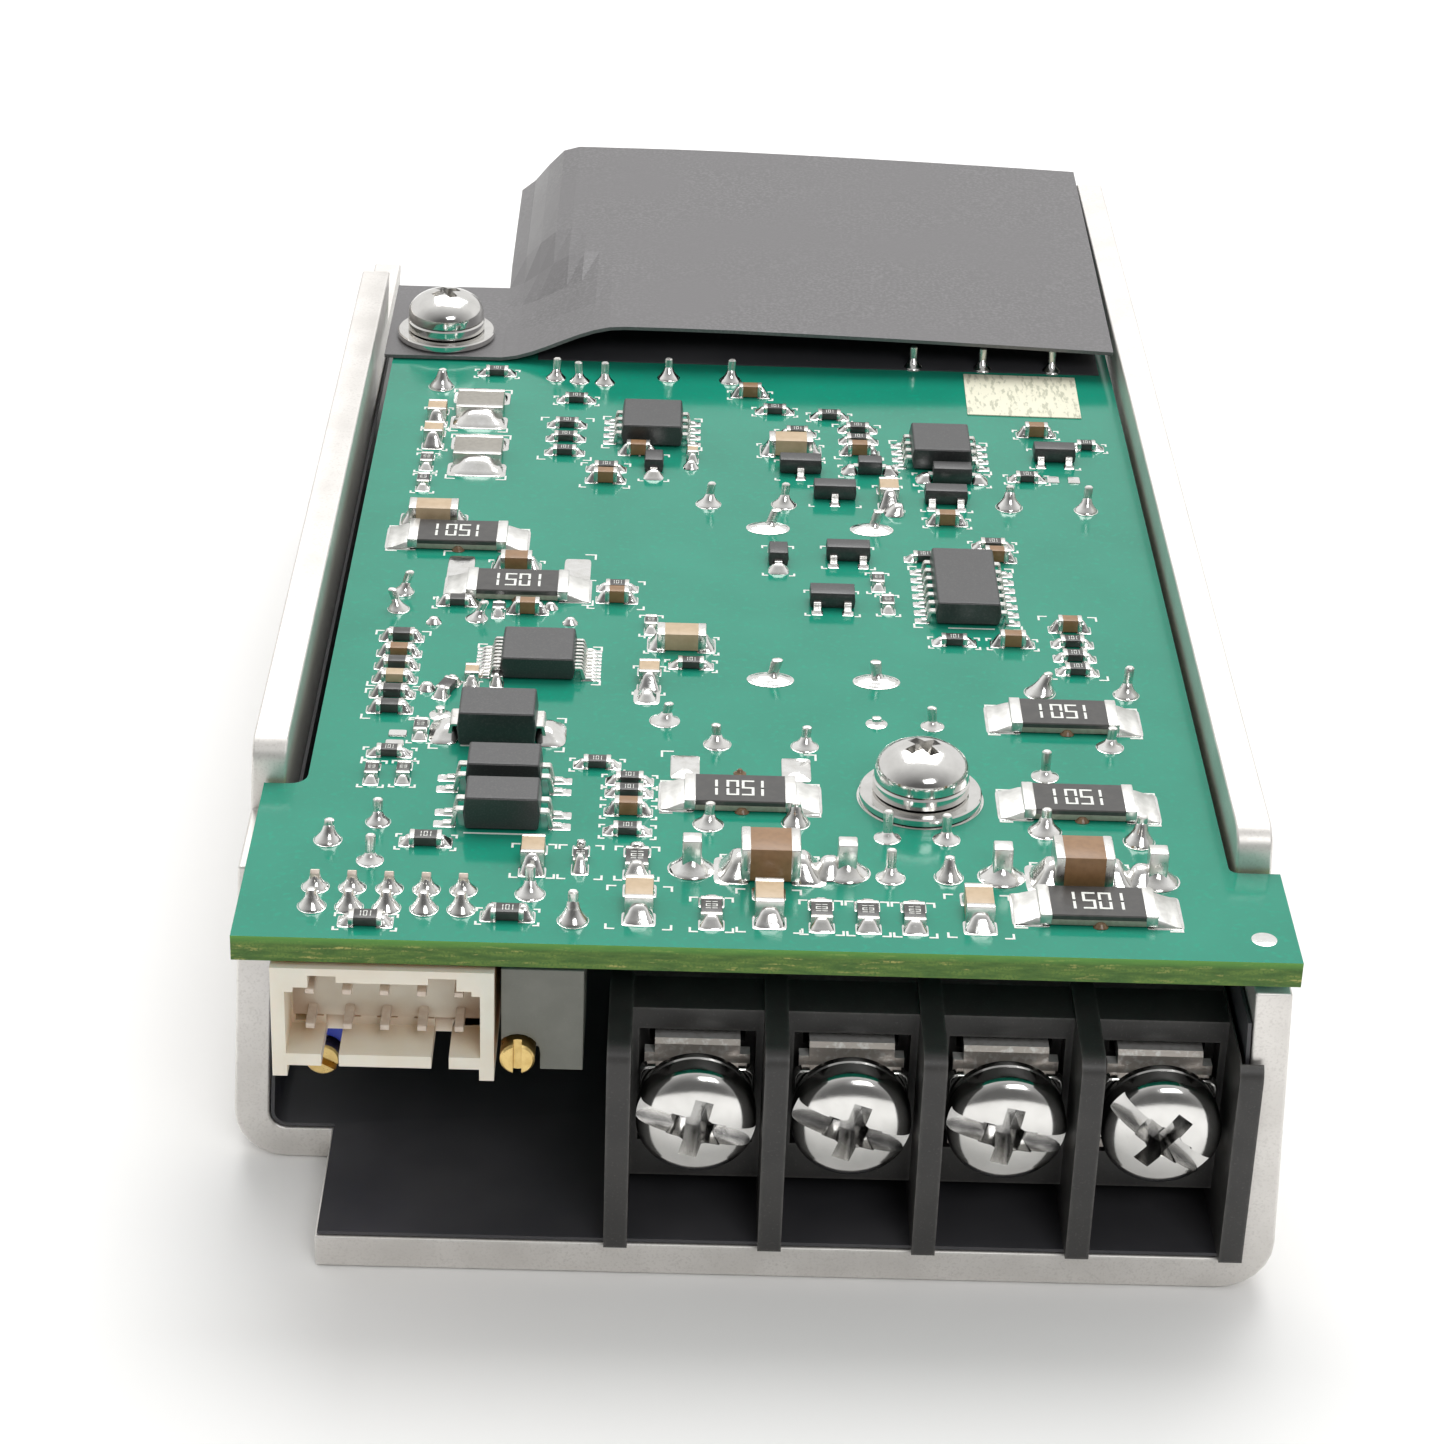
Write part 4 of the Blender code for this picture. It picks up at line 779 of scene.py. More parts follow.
def fill_front_edge(kit):
    """The row of parts behind the terminal block, from the left."""
    for x in (-2.4, 3.5, 6.0, 8.5):
        kit.resistor(x, 3.45, 90, (1.9, 1.15, 0.5), heap=1.1, framed=False, reach=0.7)
        kit.brackets(x - 1.15, x + 1.15, 1.6, 5.1, 0.5)
    for x in (-6.3, 0.7, 12.0):
        kit.beige(x, 4.15, 90, (2.5, 1.5, 1.15), framed=False, cap=0.42, heap=0.75, reach=0.85)
        kit.brackets(x - 1.75, x + 1.75, 1.7, 6.1, 0.55)
    kit.beige(-12.2, 8.5, 90, (2.0, 1.25, 1.1), framed=False, heap=1.0, reach=0.7)
    kit.resistor(-6.5, 8.5, 90, (2.0, 1.25, 0.5), framed=False, heap=1.5, reach=0.7)
    kit.resistor(-9.6, 8.7, 90, (1.5, 0.8, 0.4), framed=False, heap=2.1, reach=0.8)
    for x in (-12.2, -9.6, -6.5):
        kit.brackets(x - 1.2, x + 1.2, 6.7, 10.3, 0.5)
    kit.resistor(-20.8, 1.7, 0, (1.8, 0.95, 0.5))
    kit.resistor(-13.3, 2.6, 0, (1.8, 0.95, 0.55), heap=1.4)
    kit.resistor(-18.2, 10.2, 0, (1.8, 0.95, 0.5))


def fill_front_left(kit):
    """The column of small chips beside the optocouplers, and the parts near the left edge."""
    kit.resistor(-7.1, 17.6)
    kit.resistor(-7.1, 16.2)
    kit.brown(-7.1, 14.1)
    kit.resistor(-7.1, 11.9)
    kit.resistor(-9.0, 19.4)
    kit.resistor(-21.0, 20.1, 0, (1.5, 0.75, 0.45))
    kit.resistor(-21.8, 17.7, 90, (1.5, 0.75, 0.45))
    kit.resistor(-20.0, 17.8, 90, (1.5, 0.75, 0.45))
    kit.resistor(-19.4, 23.0, 90, (1.5, 0.75, 0.45))
    for x, y in ((-20.7, 22.5), (-20.8, 21.3)):
        kit.put("bare_pads", flat_pad(0.55, 0.35, 0.12), x, y)
    for y, kind in ((34.6, "resistor_bodies"), (32.6, "brown_capacitor_bodies"), (30.9, "resistor_bodies"),
                    (29.2, "beige_capacitor_bodies"), (27.3, "resistor_bodies"), (25.4, "resistor_bodies")):
        kit.chip(kind, -21.4, y, (1.6, 0.8, 0.55), heap=1.2, framed=False)
    kit.brackets(-23.0, -19.7, 28.4, 35.6, 0.6)
    kit.brackets(-23.0, -19.7, 24.3, 28.0, 0.6)
    kit.beige(-16.8, 29.6, 90, (1.3, 0.8, 0.7), framed=False)
    kit.chip("resistor_bodies", -15.3, 29.7, (1.2, 0.7, 0.4), 90, heap=1.6, framed=False)
    kit.chip("resistor_bodies", -18.2, 28.1, (1.6, 0.8, 0.5), 70, heap=1.3, framed=False)
    kit.put("solder_joints", solder_heap(0.55, 0.5, 0.45, 0.8), -19.4, 28.2)


def fill_middle_left(kit):
    """Between the logic chip and the two left power resistors, and the part behind them."""
    kit.beige(-20.6, 51.5, 0, (3.2, 1.6, 1.2), cap=0.5, heap=0.6, framed=False)
    kit.brown(-14.9, 44.9, 0, (2.0, 1.2, 0.9))
    kit.brown(-13.9, 38.7, 0, (1.5, 0.8, 0.8), framed=False)
    kit.chip("resistor_bodies", -15.7, 38.7, (1.0, 0.7, 0.4), 90, heap=1.2, framed=False)
    kit.chip("resistor_bodies", -18.3, 39.6, (1.5, 0.8, 0.45), 0, heap=1.3)
    for x, y in ((-12.5, 39.3), (-11.2, 37.3), (-19.6, 36.9)):
        kit.put("solder_joints", solder_heap(0.5, 0.42, 0.4, 0.8), x, y)
    kit.brown(-8.4, 40.6, 0, (1.5, 0.85, 0.8), framed=False)
    kit.resistor(-8.4, 42.2, 0, (1.5, 0.8, 0.45), framed=False)
    kit.brackets(-10.2, -6.7, 39.4, 43.3, 0.5)
    kit.beige(-4.3, 34.7, 0, (3.0, 1.6, 1.1), cap=0.5, heap=0.7)
    kit.resistor(-3.7, 32.0)
    kit.beige(-6.2, 30.0, 90, (1.7, 1.2, 1.0), heap=1.0, reach=0.75)
    kit.resistor(-6.2, 37.2, 90, (1.3, 0.7, 0.45))
    kit.put("solder_joints", solder_heap(0.6, 0.9, 0.5, 0.7), -6.3, 27.9)
    kit.put("bare_pads", flat_pad(0.8, 1.0, 0.05, 0.4), -6.3, 27.9)


def fill_middle(kit):
    """The small transistors and chips between the transformer's joints."""
    kit.diode(1.8, 46.9, 90)
    kit.transistor(6.3, 47.6, (-0.95, 0.95), (0.0,))
    kit.transistor(5.1, 41.0, (-0.95, 0.95), (0.0,), 2.9, 1.6)
    kit.resistor(8.1, 44.0, 90, (1.4, 0.75, 0.45))
    kit.resistor(8.6, 40.9, 90, (1.4, 0.75, 0.45))
    kit.resistor(11.2, 47.6, 0, (1.4, 0.75, 0.45), framed=False)
    kit.resistor(15.8, 49.8, 0, (1.6, 0.8, 0.45))
    kit.brown(15.9, 47.9, 0, (1.5, 0.8, 0.8), framed=False)
    kit.resistor(12.5, 36.0)
    kit.brown(16.1, 36.0)
    for y in (36.1, 34.2, 32.4):
        kit.resistor(19.8, y + 0.1, 0, (1.5, 0.8, 0.45), framed=False)
    kit.brown(19.8, 38.2, 0, (1.5, 0.8, 0.8), framed=False)
    kit.brackets(18.0, 21.6, 31.6, 40.0, 0.6)


def fill_rear_left(kit):
    """The left edge and the driver chip in front of the cover film."""
    for y in (68.0, 64.3):
        kit.beige(-21.5, y, 90, (1.7, 1.25, 1.0), heap=1.0, reach=0.7)
    for y in (60.5, 57.2):
        kit.resistor(-21.7, y, 90, (1.5, 0.8, 0.45))
    for x, y in ((-18.6, 69.5), (-18.3, 61.7)):
        kit.chip("grey_chip_bodies", x, y, (3.2, 3.2, 0.9), 90, cap=0.45, heap=0.9, reach=1.5, framed=False)
        kit.brackets(x - 2.0, x + 2.0, y - 3.6, y + 3.6, 0.7)
    kit.resistor(-17.8, 76.0)
    kit.resistor(-12.0, 71.6)
    for y in (67.3, 65.0, 62.7):
        kit.resistor(-12.5, y, framed=False)
    kit.brackets(-14.3, -10.7, 61.6, 68.6, 0.6)
    kit.resistor(-9.6, 60.2, framed=False)
    kit.brown(-9.6, 58.4, framed=False)
    kit.brackets(-11.3, -8.0, 57.3, 61.2, 0.5)
    kit.brown(-7.5, 63.0, 0, (1.6, 0.8, 0.8), framed=False)
    kit.diode(-6.4, 60.7, 90)
    kit.beige(-3.8, 62.7, 90, (1.2, 0.7, 0.6), framed=False)
    kit.put("solder_joints", solder_heap(0.55, 0.55, 0.5, 0.8), -3.9, 61.0)


def fill_rear_right(kit):
    """The parts between and round the driver chips, in front of the cover film."""
    kit.brown(0.2, 73.4)
    kit.resistor(1.9, 70.6)
    kit.resistor(5.7, 69.9)
    kit.resistor(3.4, 66.9, 0, (1.5, 0.8, 0.45))
    kit.beige(2.9, 64.0, 0, (3.0, 1.6, 1.1), cap=0.45, heap=0.7)
    kit.transistor(3.5, 60.9, (0.0,), (-0.95, 0.95))
    for y in (67.8, 65.9):
        kit.resistor(7.6, y, framed=False)
    kit.brown(7.6, 64.0, framed=False)
    kit.brackets(5.9, 9.2, 63.0, 68.8, 0.5)
    kit.diode(8.2, 61.0, 0, 1.7, 1.25)
    kit.transistor(5.7, 56.9, (0.0,), (-0.95, 0.95))
    kit.beige(9.3, 56.8, 90, (2.0, 1.25, 1.1), heap=1.1, reach=0.8)
    kit.put("solder_joints", solder_heap(0.7, 0.7, 0.7, 0.7, 0.25, 0.0), 9.6, 54.6)
    kit.diode(13.7, 60.0, 0, 2.7, 1.35, 1.1)
    kit.transistor(13.1, 56.6, (-0.95, 0.95), (0.0,))
    kit.brown(13.0, 53.2, 0, (1.6, 0.8, 0.8))
    kit.transistor(20.9, 63.9, (-0.95, 0.95), (0.0,))
    kit.brown(20.0, 67.9, 0, (1.6, 0.8, 0.8))
    kit.resistor(23.3, 65.9, 0, (1.3, 0.75, 0.45))
    kit.resistor(18.8, 60.4, 0, (1.5, 0.8, 0.45))
    for x in (20.6, 22.0):
        kit.put("bare_pads", flat_pad(0.42, 0.5, 0.08), x, 60.5)


# Leads that end in a cone of solder: x, distance from the front edge, cone radius and height, lead length, lean.
PIN_JOINTS = (
    (-23.6, 10.2, 0.77, 1.05, 1.26, (0.1, 0.1)), (-21.0, 12.3, 0.69, 0.8, 1.43, (0.0, 0.1)),
    (-21.1, 8.1, 0.73, 0.55, 1.51, (0.05, 0.2)), (-12.2, 5.0, 0.81, 0.9, 1.68, (0.0, 0.2)),
    (-9.8, 2.4, 0.83, 1.35, 1.85, (0.0, 0.0)), (-5.2, 25.0, 0.87, 0.6, 1.18, (0.25, 0.0)),
    (3.0, 22.3, 0.79, 0.7, 1.26, (0.1, 0.1)), (-2.1, 22.3, 0.79, 0.7, 1.26, (-0.1, 0.1)),
    (-2.6, 13.0, 0.85, 0.7, 1.34, (0.1, 0.1)), (2.3, 13.4, 0.79, 1.2, 1.26, (0.0, 0.1)),
    (7.3, 25.3, 0.62, 0.25, 0.42, (0.0, 0.0)), (10.6, 25.2, 0.67, 0.45, 1.26, (-0.1, 0.0)),
    (7.4, 12.0, 0.73, 0.45, 1.68, (0.0, 0.1)), (10.7, 12.0, 0.75, 0.6, 1.6, (-0.05, 0.0)),
    (7.4, 7.7, 0.79, 0.7, 1.68, (0.0, 0.2)), (10.6, 7.9, 0.79, 1.25, 1.26, (0.0, 0.1)),
    (16.3, 13.2, 0.92, 0.9, 1.34, (0.05, 0.2)), (21.5, 12.3, 0.87, 1.3, 1.6, (0.1, 0.1)),
    (16.8, 19.5, 0.77, 0.5, 1.68, (0.0, 0.0)), (20.9, 23.2, 0.79, 0.6, 1.26, (0.1, 0.1)),
    (17.3, 29.8, 0.92, 1.3, 1.34, (0.45, 0.0)), (22.5, 29.8, 0.77, 0.9, 1.85, (0.1, 0.1)),
    (-18.4, 25.0, 0.62, 0.25, 0.5, (0.0, 0.0)), (-2.7, 55.2, 0.82, 0.8, 1.51, (0.2, 0.1)),
    (2.3, 55.4, 0.82, 0.8, 1.51, (0.1, 0.1)), (17.3, 56.0, 0.87, 1.2, 1.51, (0.0, 0.1)),
    (22.4, 55.8, 0.77, 1.0, 1.68, (0.1, 0.2)), (-21.6, 73.5, 0.87, 1.3, 1.34, (0.1, 0.0)),
    (-13.6, 75.6, 0.69, 0.8, 1.51, (0.1, 0.0)), (-11.9, 75.2, 0.69, 0.7, 1.43, (-0.1, 0.0)),
    (-10.1, 75.0, 0.69, 0.8, 1.51, (0.0, 0.1)), (-21.8, 41.0, 0.67, 0.8, 1.43, (0.45, 0.0)),
    (-21.9, 38.6, 0.67, 0.8, 1.34, (-0.4, 0.1)), (-17.0, 37.6, 0.67, 0.7, 1.18, (0.5, 0.0)),
    (-1.2, 76.0, 0.77, 0.9, 1.6, (0.1, 0.0)), (-5.6, 76.2, 0.77, 0.9, 1.43, (0.0, 0.1)),
    (12.0, 79.4, 0.7, 0.8, 1.6, (0.0, 0.1)), (17.0, 79.4, 0.7, 0.8, 1.6, (0.0, 0.1)),
    (22.0, 79.4, 0.7, 0.8, 1.6, (0.0, 0.1)),
)

OVAL_JOINTS = ((1.2, 51.7, 0.5), (8.0, 51.9, 0.4), (1.1, 30.5, 0.35), (7.5, 30.6, -0.15))


def fill_joints(kit):
    for x, y, radius, height, lead, lean in PIN_JOINTS:
        kit.pin_joint(x, y, radius, height, lead, lean)
    for x, y, lean in OVAL_JOINTS:
        kit.oval_joint(x, y, lean=lean)
    for k in range(5):
        x = -23.8 + 2.0 * k
        kit.pin_joint(x, 3.2, 0.76, 1.10, 0)
        kit.pin_joint(x, 5.2, 0.74, 0.85, 0)


def board_place(low, high):
    """Centre of a CAD box as millimetres on the board: (x, distance from the front edge)."""
    centre = (low + high) / 2
    return centre.x / MM, (centre.y - FRONT_EDGE) / MM


def fill_power_resistors(kit):
    """End caps, ceramic edge, solder and value code on each of the six large resistors."""
    for number in range(1, 7):
        low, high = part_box(f"power_resistor_{number}")
        x, y = board_place(low, high)
        length, depth = (high.x - low.x) / MM, (high.y - low.y) / MM
        upright = number in (2, 6)
        kit.put("resistor_substrates", rounded_block(length - 1.0, depth + 0.05, 0.34, 0.04), x, y, 0.08)
        for side in (-1, 1):
            edge = x + side * (length / 2 - 0.30)
            kit.put("resistor_terminals", rounded_block(0.66, depth + 0.07, 0.67, 0.07), edge, y, 0.07)
            kit.put("solder_ramps", solder_ramp(1.35, depth * 1.02, 0.46), x + side * length / 2, y, 0.03, -90 * side)
            kit.put("bare_pads", flat_pad(1.05, depth * 0.55, 0.03, 0.2), x + side * (length / 2 + 0.45), y)
        kit.code("1501", x, y, 0.1 + 0.6, 1.55, 0 if upright else 180)
        kit.put("flux_residue", solder_heap(0.42, 0.35, 0.30, 0.9), x + 0.1, y - depth / 2, 0.02)
        if number != 2:
            reach = depth / 2 + (1.7 if upright else 0.25)
            kit.brackets(x - 4.5, x + 4.5, y - depth / 2 - 0.3, y + reach, 0.75)
    for x in (-3.95, 2.45):
        kit.put("bare_pads", flat_pad(0.85, 1.35, 0.10, 0.15), x, 19.4)
    kit.brackets(-5.3, 3.6, 14.2, 21.3, 0.75)
    for y in (18.2, 18.9):
        kit.put("flux_residue", solder_cone(0.38, 0.3), -0.8, y)
    for x in (-18.4, -11.0):
        kit.put("bare_pads", flat_pad(0.85, 2.3, 0.06, 0.2), x, 44.0)
    kit.brackets(-19.6, -9.9, 39.8, 47.0, 0.75)


def fill_large_capacitors(kit):
    """The two tall brown capacitors, soldered to the terminal tails beside them."""
    for x, tail_side in ((0.8, 1), (17.9, 1)):
        width, depth, height = 3.2, 2.5, 2.0
        kit.put("brown_capacitor_bodies", rounded_block(width - 0.7, depth, height, 0.08), x, 8.05, 0.1)
        for side in (-1, 1):
            kit.put("chip_terminals", rounded_block(0.56, depth + 0.06, height + 0.06, 0.12),
                    x + side * (width - 0.5) / 2, 8.05, 0.07)
            kit.put("solder_joints", solder_heap(0.85, 1.35, 1.25, 0.55, -side * 0.40, 0.0),
                    x + side * (width / 2 + 0.42), 8.0, 0.02)
            kit.put("bare_pads", flat_pad(1.0, 1.45, 0.04, 0.3), x + side * (width / 2 + 0.5), 8.0)
        bridge = x + tail_side * 3.1
        kit.put("solder_joints", solder_heap(0.95, 0.95, 0.95, 0.8, 0.2, 0.15), bridge, 8.0, 0.02)
        kit.brackets(x - 2.7, x + 2.7, 6.5, 9.7, 0.5)


def fill_terminal_tails(kit):
    """The four contact tails: a blunt flat tip that stands out of a broad cone of solder."""
    for number in range(1, 5):
        low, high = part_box(f"terminal_contact_{number}")
        x = (low.x + high.x) / 2 / MM - 0.6
        kit.put("bare_pads", flat_pad(1.35, 1.2, 0.04, 1.0), x, 8.1)
        kit.put("solder_joints", solder_cone(1.25, 1.15, 0.0, 0.05), x, 8.1, 0.02)
        kit.put("solder_joints", solder_heap(0.72, 0.62, 1.35, 0.7), x, 8.05, 0.02)
        kit.put("lead_ends", rounded_block(1.06, 1.04, 2.05, 0.10), x, 8.1, 0.0)


def fill_chip_leads(kit):
    kit.chip_sides("control_chip", 7, 1.14, 0.46, 0.85)
    kit.chip_sides("driver_chip_left", 4, 1.14, 0.46, 0.85)
    kit.chip_sides("driver_chip_right", 4, 1.14, 0.46, 0.85)
    kit.chip_sides("logic_chip", 9, 0.46, 0.24, 1.05)
    kit.chip_sides("optocoupler_1", 2, 1.27, 0.50, 1.15, 1.0)
    kit.chip_sides("optocoupler_2", 2, 1.27, 0.50, 1.15, 1.0)
    kit.chip_sides("rectifier_diode", 1, 1.0, 1.9, 0.95, 1.0)
    for node, margin in (("control_chip", 1.3), ("driver_chip_left", 1.3), ("driver_chip_right", 1.3),
                         ("logic_chip", 1.5), ("rectifier_diode", 1.6)):
        low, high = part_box(node)
        x, y = board_place(low, high)
        half_x, half_y = (high.x - low.x) / 2 / MM, (high.y - low.y) / 2 / MM
        kit.brackets(x - half_x - margin, x + half_x + margin, y - half_y - 0.35, y + half_y + 0.35, 0.6)
    kit.put("silkscreen_lines", stroke(2.9, 0.14), 13.7, 38.05)
    for x, y in ((-14.2, 16.8), (-14.1, 12.9), (-14.9, 22.9)):
        kit.put("silkscreen_lines", stroke(4.2, 0.14), x, y - 1.55)
    kit.put("solder_joints", solder_heap(0.9, 1.5, 0.7, 0.5, 0.35, 0.0), -18.0, 22.9, 0.02)
    kit.put("solder_joints", solder_heap(0.9, 1.5, 0.7, 0.5, -0.35, 0.0), -11.8, 22.9, 0.02)


def make_lining(finishes):
    """The black film inside the channel, which stops below the board on the left wall."""
    lining = refined("base_insulation_film", "channel_lining", finishes["film"], 0)
    place = Matrix.Translation((-30.0 * MM, 0, BOARD_LOW.z - 1.5 * MM))
    carve(lining, solid(block_work(12.0, 130.0, 20.0), place))


def make_shade_under_film(finishes):
    """A dark sheet on the board under the raised cover film: painted shade where the film shades the board."""
    sheet = Piece("painted_shade_under_film", finishes["film"], "black_film")
    sheet.stamp(block(40.4, 33.0, 0.08, 0.02), on_board(5.2, 95.3))
    sheet.finished()


def make_socket_wall(finishes):
    """The socket's back wall, closed round the pins."""
    low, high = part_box("signal_connector_housing")
    width = (high.x - low.x) / MM - 1.7
    height = (high.z - low.z) / MM - 3.5
    wall = Piece("socket_back_wall", finishes["ivory"], "ivory_plastic")
    middle = (low.x + high.x) / 2
    foot = low.z + 2.0 * MM
    place = Matrix.Translation((middle, low.y + 3.12 * MM, foot)) @ Matrix.Scale(MM, 4)
    wall.stamp(block(width, 0.16, height, 0.02), place)
    wall.finished()


def make_label(finishes):
    """The cream sticker in front of the cover film."""
    label = Piece("inspection_label", finishes["label"], "ivory_plastic")
    label.stamp(block(8.0, 7.2, 0.09, 0.03), on_board(19.5, 74.6, 0.0, -1.0))
    label.finished()


def ring_shape(inner, outer, height, edge=0.0, segments=72):
    """A flat ring standing on z = 0, in millimetres."""
    profile = [(inner, 0), (outer - edge, 0), (outer, edge), (outer, height - edge), (outer - edge, height),
               (inner + edge, height), (inner, height - edge)]
    if not edge:
        profile = [(inner, 0), (outer, 0), (outer, height), (inner, height)]
    return Shape(turned_work(profile, segments))


def make_washers(finishes):
    """Flat and spring washers under both board screws, and the tinned ring on the board below the front one."""
    pads = Piece("screw_pads", finishes["solder"], "nickel")
    for label in ("front", "rear"):
        low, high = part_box(label + "_flat_washer")
        x, y = board_place(low, high)
        flat = Piece(label + "_washer_flat", finishes["nickel"], "nickel")
        flat.stamp(ring_shape(1.7, (high.x - low.x) / 2 / MM, (high.z - low.z) / MM, 0.08),
                   on_board(x, y, (low.z - BOARD_TOP) / MM))
        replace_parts(flat.finished(), label + "_flat_washer")
        if label == "front":
            pads.stamp(ring_shape(1.8, 3.62, 0.03), on_board(x, y))
        low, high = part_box(label + "_spring_washer")
        spring = Piece(label + "_washer_spring", finishes["nickel"], "nickel")
        spring.stamp(ring_shape(1.7, (high.x - low.x) / 2 / MM, (high.z - low.z) / MM, 0.10),
                     on_board(x, y, (low.z - BOARD_TOP) / MM))
        made = spring.finished()
        gap = object_of(block_work(0.4 * MM, 4 * MM, 3 * MM), "washer_split")
        gap.matrix_world = on_board(x, y, (low.z - BOARD_TOP) / MM - 1.0, -20) @ Matrix.Scale(
            1 / MM, 4) @ Matrix.Translation((0, 3 * MM, 0))
        bpy.context.view_layer.update()
        carve(made, gap)
        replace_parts(made, label + "_spring_washer")
    pads.finished()


def dome_profile(radius, height, edge, steps):
    """A screw head from its seat to its pole: a short rim with a rounded corner, then an elliptic dome."""
    corner = 0.12
    points = [(0, 0), (radius - corner, 0), (radius, corner), (radius, edge)]
    for k in range(1, steps):
        angle = math.pi / 2 * k / steps
        points.append((radius * math.cos(angle), edge + (height - edge) * math.sin(angle)))
    return points + [(0, height)]


def recess_blade(length, width, depth, foot=0.4):
    """One arm of a recess, wide at the face and tapering to its foot. It lies along X, with the face at z = 0."""
    work = block_work(length, width, depth + 1.0, -depth)
    for vert in work.verts:
        if vert.co.z < -depth * 0.9:
            vert.co.x *= foot
            vert.co.y *= 0.72
    return work


def solid(work, place, name="cutter"):
    """A helper object from a shape in millimetres, put in place."""
    bmesh.ops.transform(work, matrix=place @ Matrix.Scale(MM, 4), verts=work.verts)
    return object_of(work, name)


def terminal_head(radius):
    """Profile of a terminal screw's head, in millimetres: a captive washer, a neck, a rim and a low dome."""
    rim_low, rim_high, pole = 0.80, 1.75, TERMINAL_HEAD_HEIGHT
    points = [(3.12, 0.0), (3.2, 0.08), (3.2, 0.47), (3.12, 0.55), (2.9, 0.60), (2.9, 0.74)]
    points += [(radius - 0.08, rim_low), (radius, rim_low + 0.08), (radius, rim_high)]
    steps = 18
    roundness = 0.90
    for k in range(1, steps):
        angle = math.pi / 2 * k / steps
        points.append((radius * math.cos(angle) ** roundness,
                       rim_high + (pole - rim_high) * math.sin(angle) ** roundness))
    return points + [(0, pole)]


def make_terminal_screws(finishes):
    """Heads with a deep slot that runs out at the rim, crossed by a short tapered arm."""
    for number in range(1, 5):
        node = f"terminal_screw_{number}"
        low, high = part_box(node)
        centre = (low + high) / 2
        radius, shank = (high.x - low.x) / 2 / MM, 1.7
        seat = Matrix.Translation((centre.x, low.y + TERMINAL_HEAD_HEIGHT * MM, centre.z))
        seat = seat @ Matrix.Rotation(math.pi / 2, 4, "X")
        length = (high.y - low.y) / MM - TERMINAL_HEAD_HEIGHT
        profile = [(0, -length), (shank - 0.3, -length), (shank, -length + 0.5), (shank, 0)]
        screw = solid(turned_work(profile + terminal_head(radius), 96), seat, f"terminal_screw_head_{number}")
        face = seat @ Matrix.Rotation(math.radians(SLOT_ANGLES[number - 1]), 4, "Z")
        face = face @ Matrix.Translation((0, 0, TERMINAL_HEAD_HEIGHT * MM))
        carve(screw, solid(block_work(9.0, 1.15, 3.0, -1.15), face))
        across = face @ Matrix.Rotation(math.pi / 2, 4, "Z")
        carve(screw, solid(recess_blade(4.8, 1.15, 1.9), across))
        carve(screw, solid(recess_blade(4.0, 1.5, 1.8), face))
        carve(screw, solid(turned_work([(0, -1.9), (0.35, -1.8), (1.15, 0.4), (0, 0.4)], 8), face))
        dressed(screw, finishes["screw"], f"screw_{number}")
        bevel(screw, 0.05 * MM, 2)
        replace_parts(screw, node)


def make_board_screws(finishes):
    """Pan heads with a cross recess."""
    for label in ("front", "rear"):
        node = label + "_board_screw"
        low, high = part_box(node)
        centre = (low + high) / 2
        head_height, radius, shank = 2.1, (high.x - low.x) / 2 / MM, 1.45
        seat = Matrix.Translation((centre.x, centre.y, high.z - head_height * MM))
        length = (high.z - low.z) / MM - head_height
        profile = [(0, -length), (shank - 0.3, -length), (shank, -length + 0.5), (shank, 0)]
        profile += dome_profile(radius, head_height, 0.5, 18)[1:]
        screw = solid(turned_work(profile, 80), seat, label + "_pan_screw")
        face = seat @ Matrix.Translation((0, 0, head_height * MM))
        for angle in (35, 125):
            carve(screw, solid(recess_blade(3.2, 0.75, 1.35, 0.3), face @ Matrix.Rotation(
                math.radians(angle), 4, "Z")))
        dressed(screw, finishes["nickel"])
        bevel(screw, 0.05 * MM, 2)
        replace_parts(screw, node)


def make_refined(finishes):
    """Fine copies of the CAD nodes in full view, with every edge rounded."""
    refined("chassis", "chassis_channel", finishes["aluminium"], 0.16 * MM)
    refined("circuit_board", "board_laminate", finishes["board"], 0.05 * MM, 2)
    refined("terminal_housing", "terminal_block_housing", finishes["black"], 0.14 * MM)
    refined("signal_connector_housing", "signal_socket_housing", finishes["ivory"], 0.07 * MM)
    refined("grey_trimmer_body", "grey_trimmer_case", finishes["grey"], 0.08 * MM)
    refined("blue_trimmer_body", "blue_trimmer_case", finishes["blue"], 0.08 * MM)
    refined("grey_trimmer_screw", "grey_trimmer_slot_screw", finishes["brass"], 0.05 * MM, 2,
            "grey_adjuster")
    refined("blue_trimmer_screw", "blue_trimmer_slot_screw", finishes["brass"], 0.05 * MM, 2,
            "blue_adjuster")
    for number in range(1, 5):
        refined(f"terminal_contact_{number}", f"contact_strip_{number}", finishes["contact"], 0.08 * MM)
        refined(f"terminal_clamp_plate_{number}", f"clamp_plate_{number}", finishes["nickel"],
                0.05 * MM, 2, f"clamp_{number}")
    for number in range(1, 6):
        for row in ("front", "rear"):
            refined(f"signal_pin_{row}_{number}", f"connector_pin_{row}_{number}", finishes["pin"],
                    0.05 * MM, 2)
    for node in ("control_chip", "logic_chip", "driver_chip_left", "driver_chip_right", "rectifier_diode",
                 "optocoupler_1", "optocoupler_2"):
        refined(node, node + "_body", finishes["chip"], 0.04 * MM, 2)


def make_board_parts(finishes):
    kit = Kit(finishes)
    for fill in (fill_front_edge, fill_front_left, fill_middle_left, fill_middle, fill_rear_left, fill_rear_right,
                 fill_joints, fill_power_resistors, fill_large_capacitors, fill_terminal_tails, fill_chip_leads):
        fill(kit)
    kit.put("bare_pads", flat_pad(0.7, 0.7, 0.02, 1.0), 27.2, 2.3)
    kit.finished()


# ---------------------------------------------------------------- stage


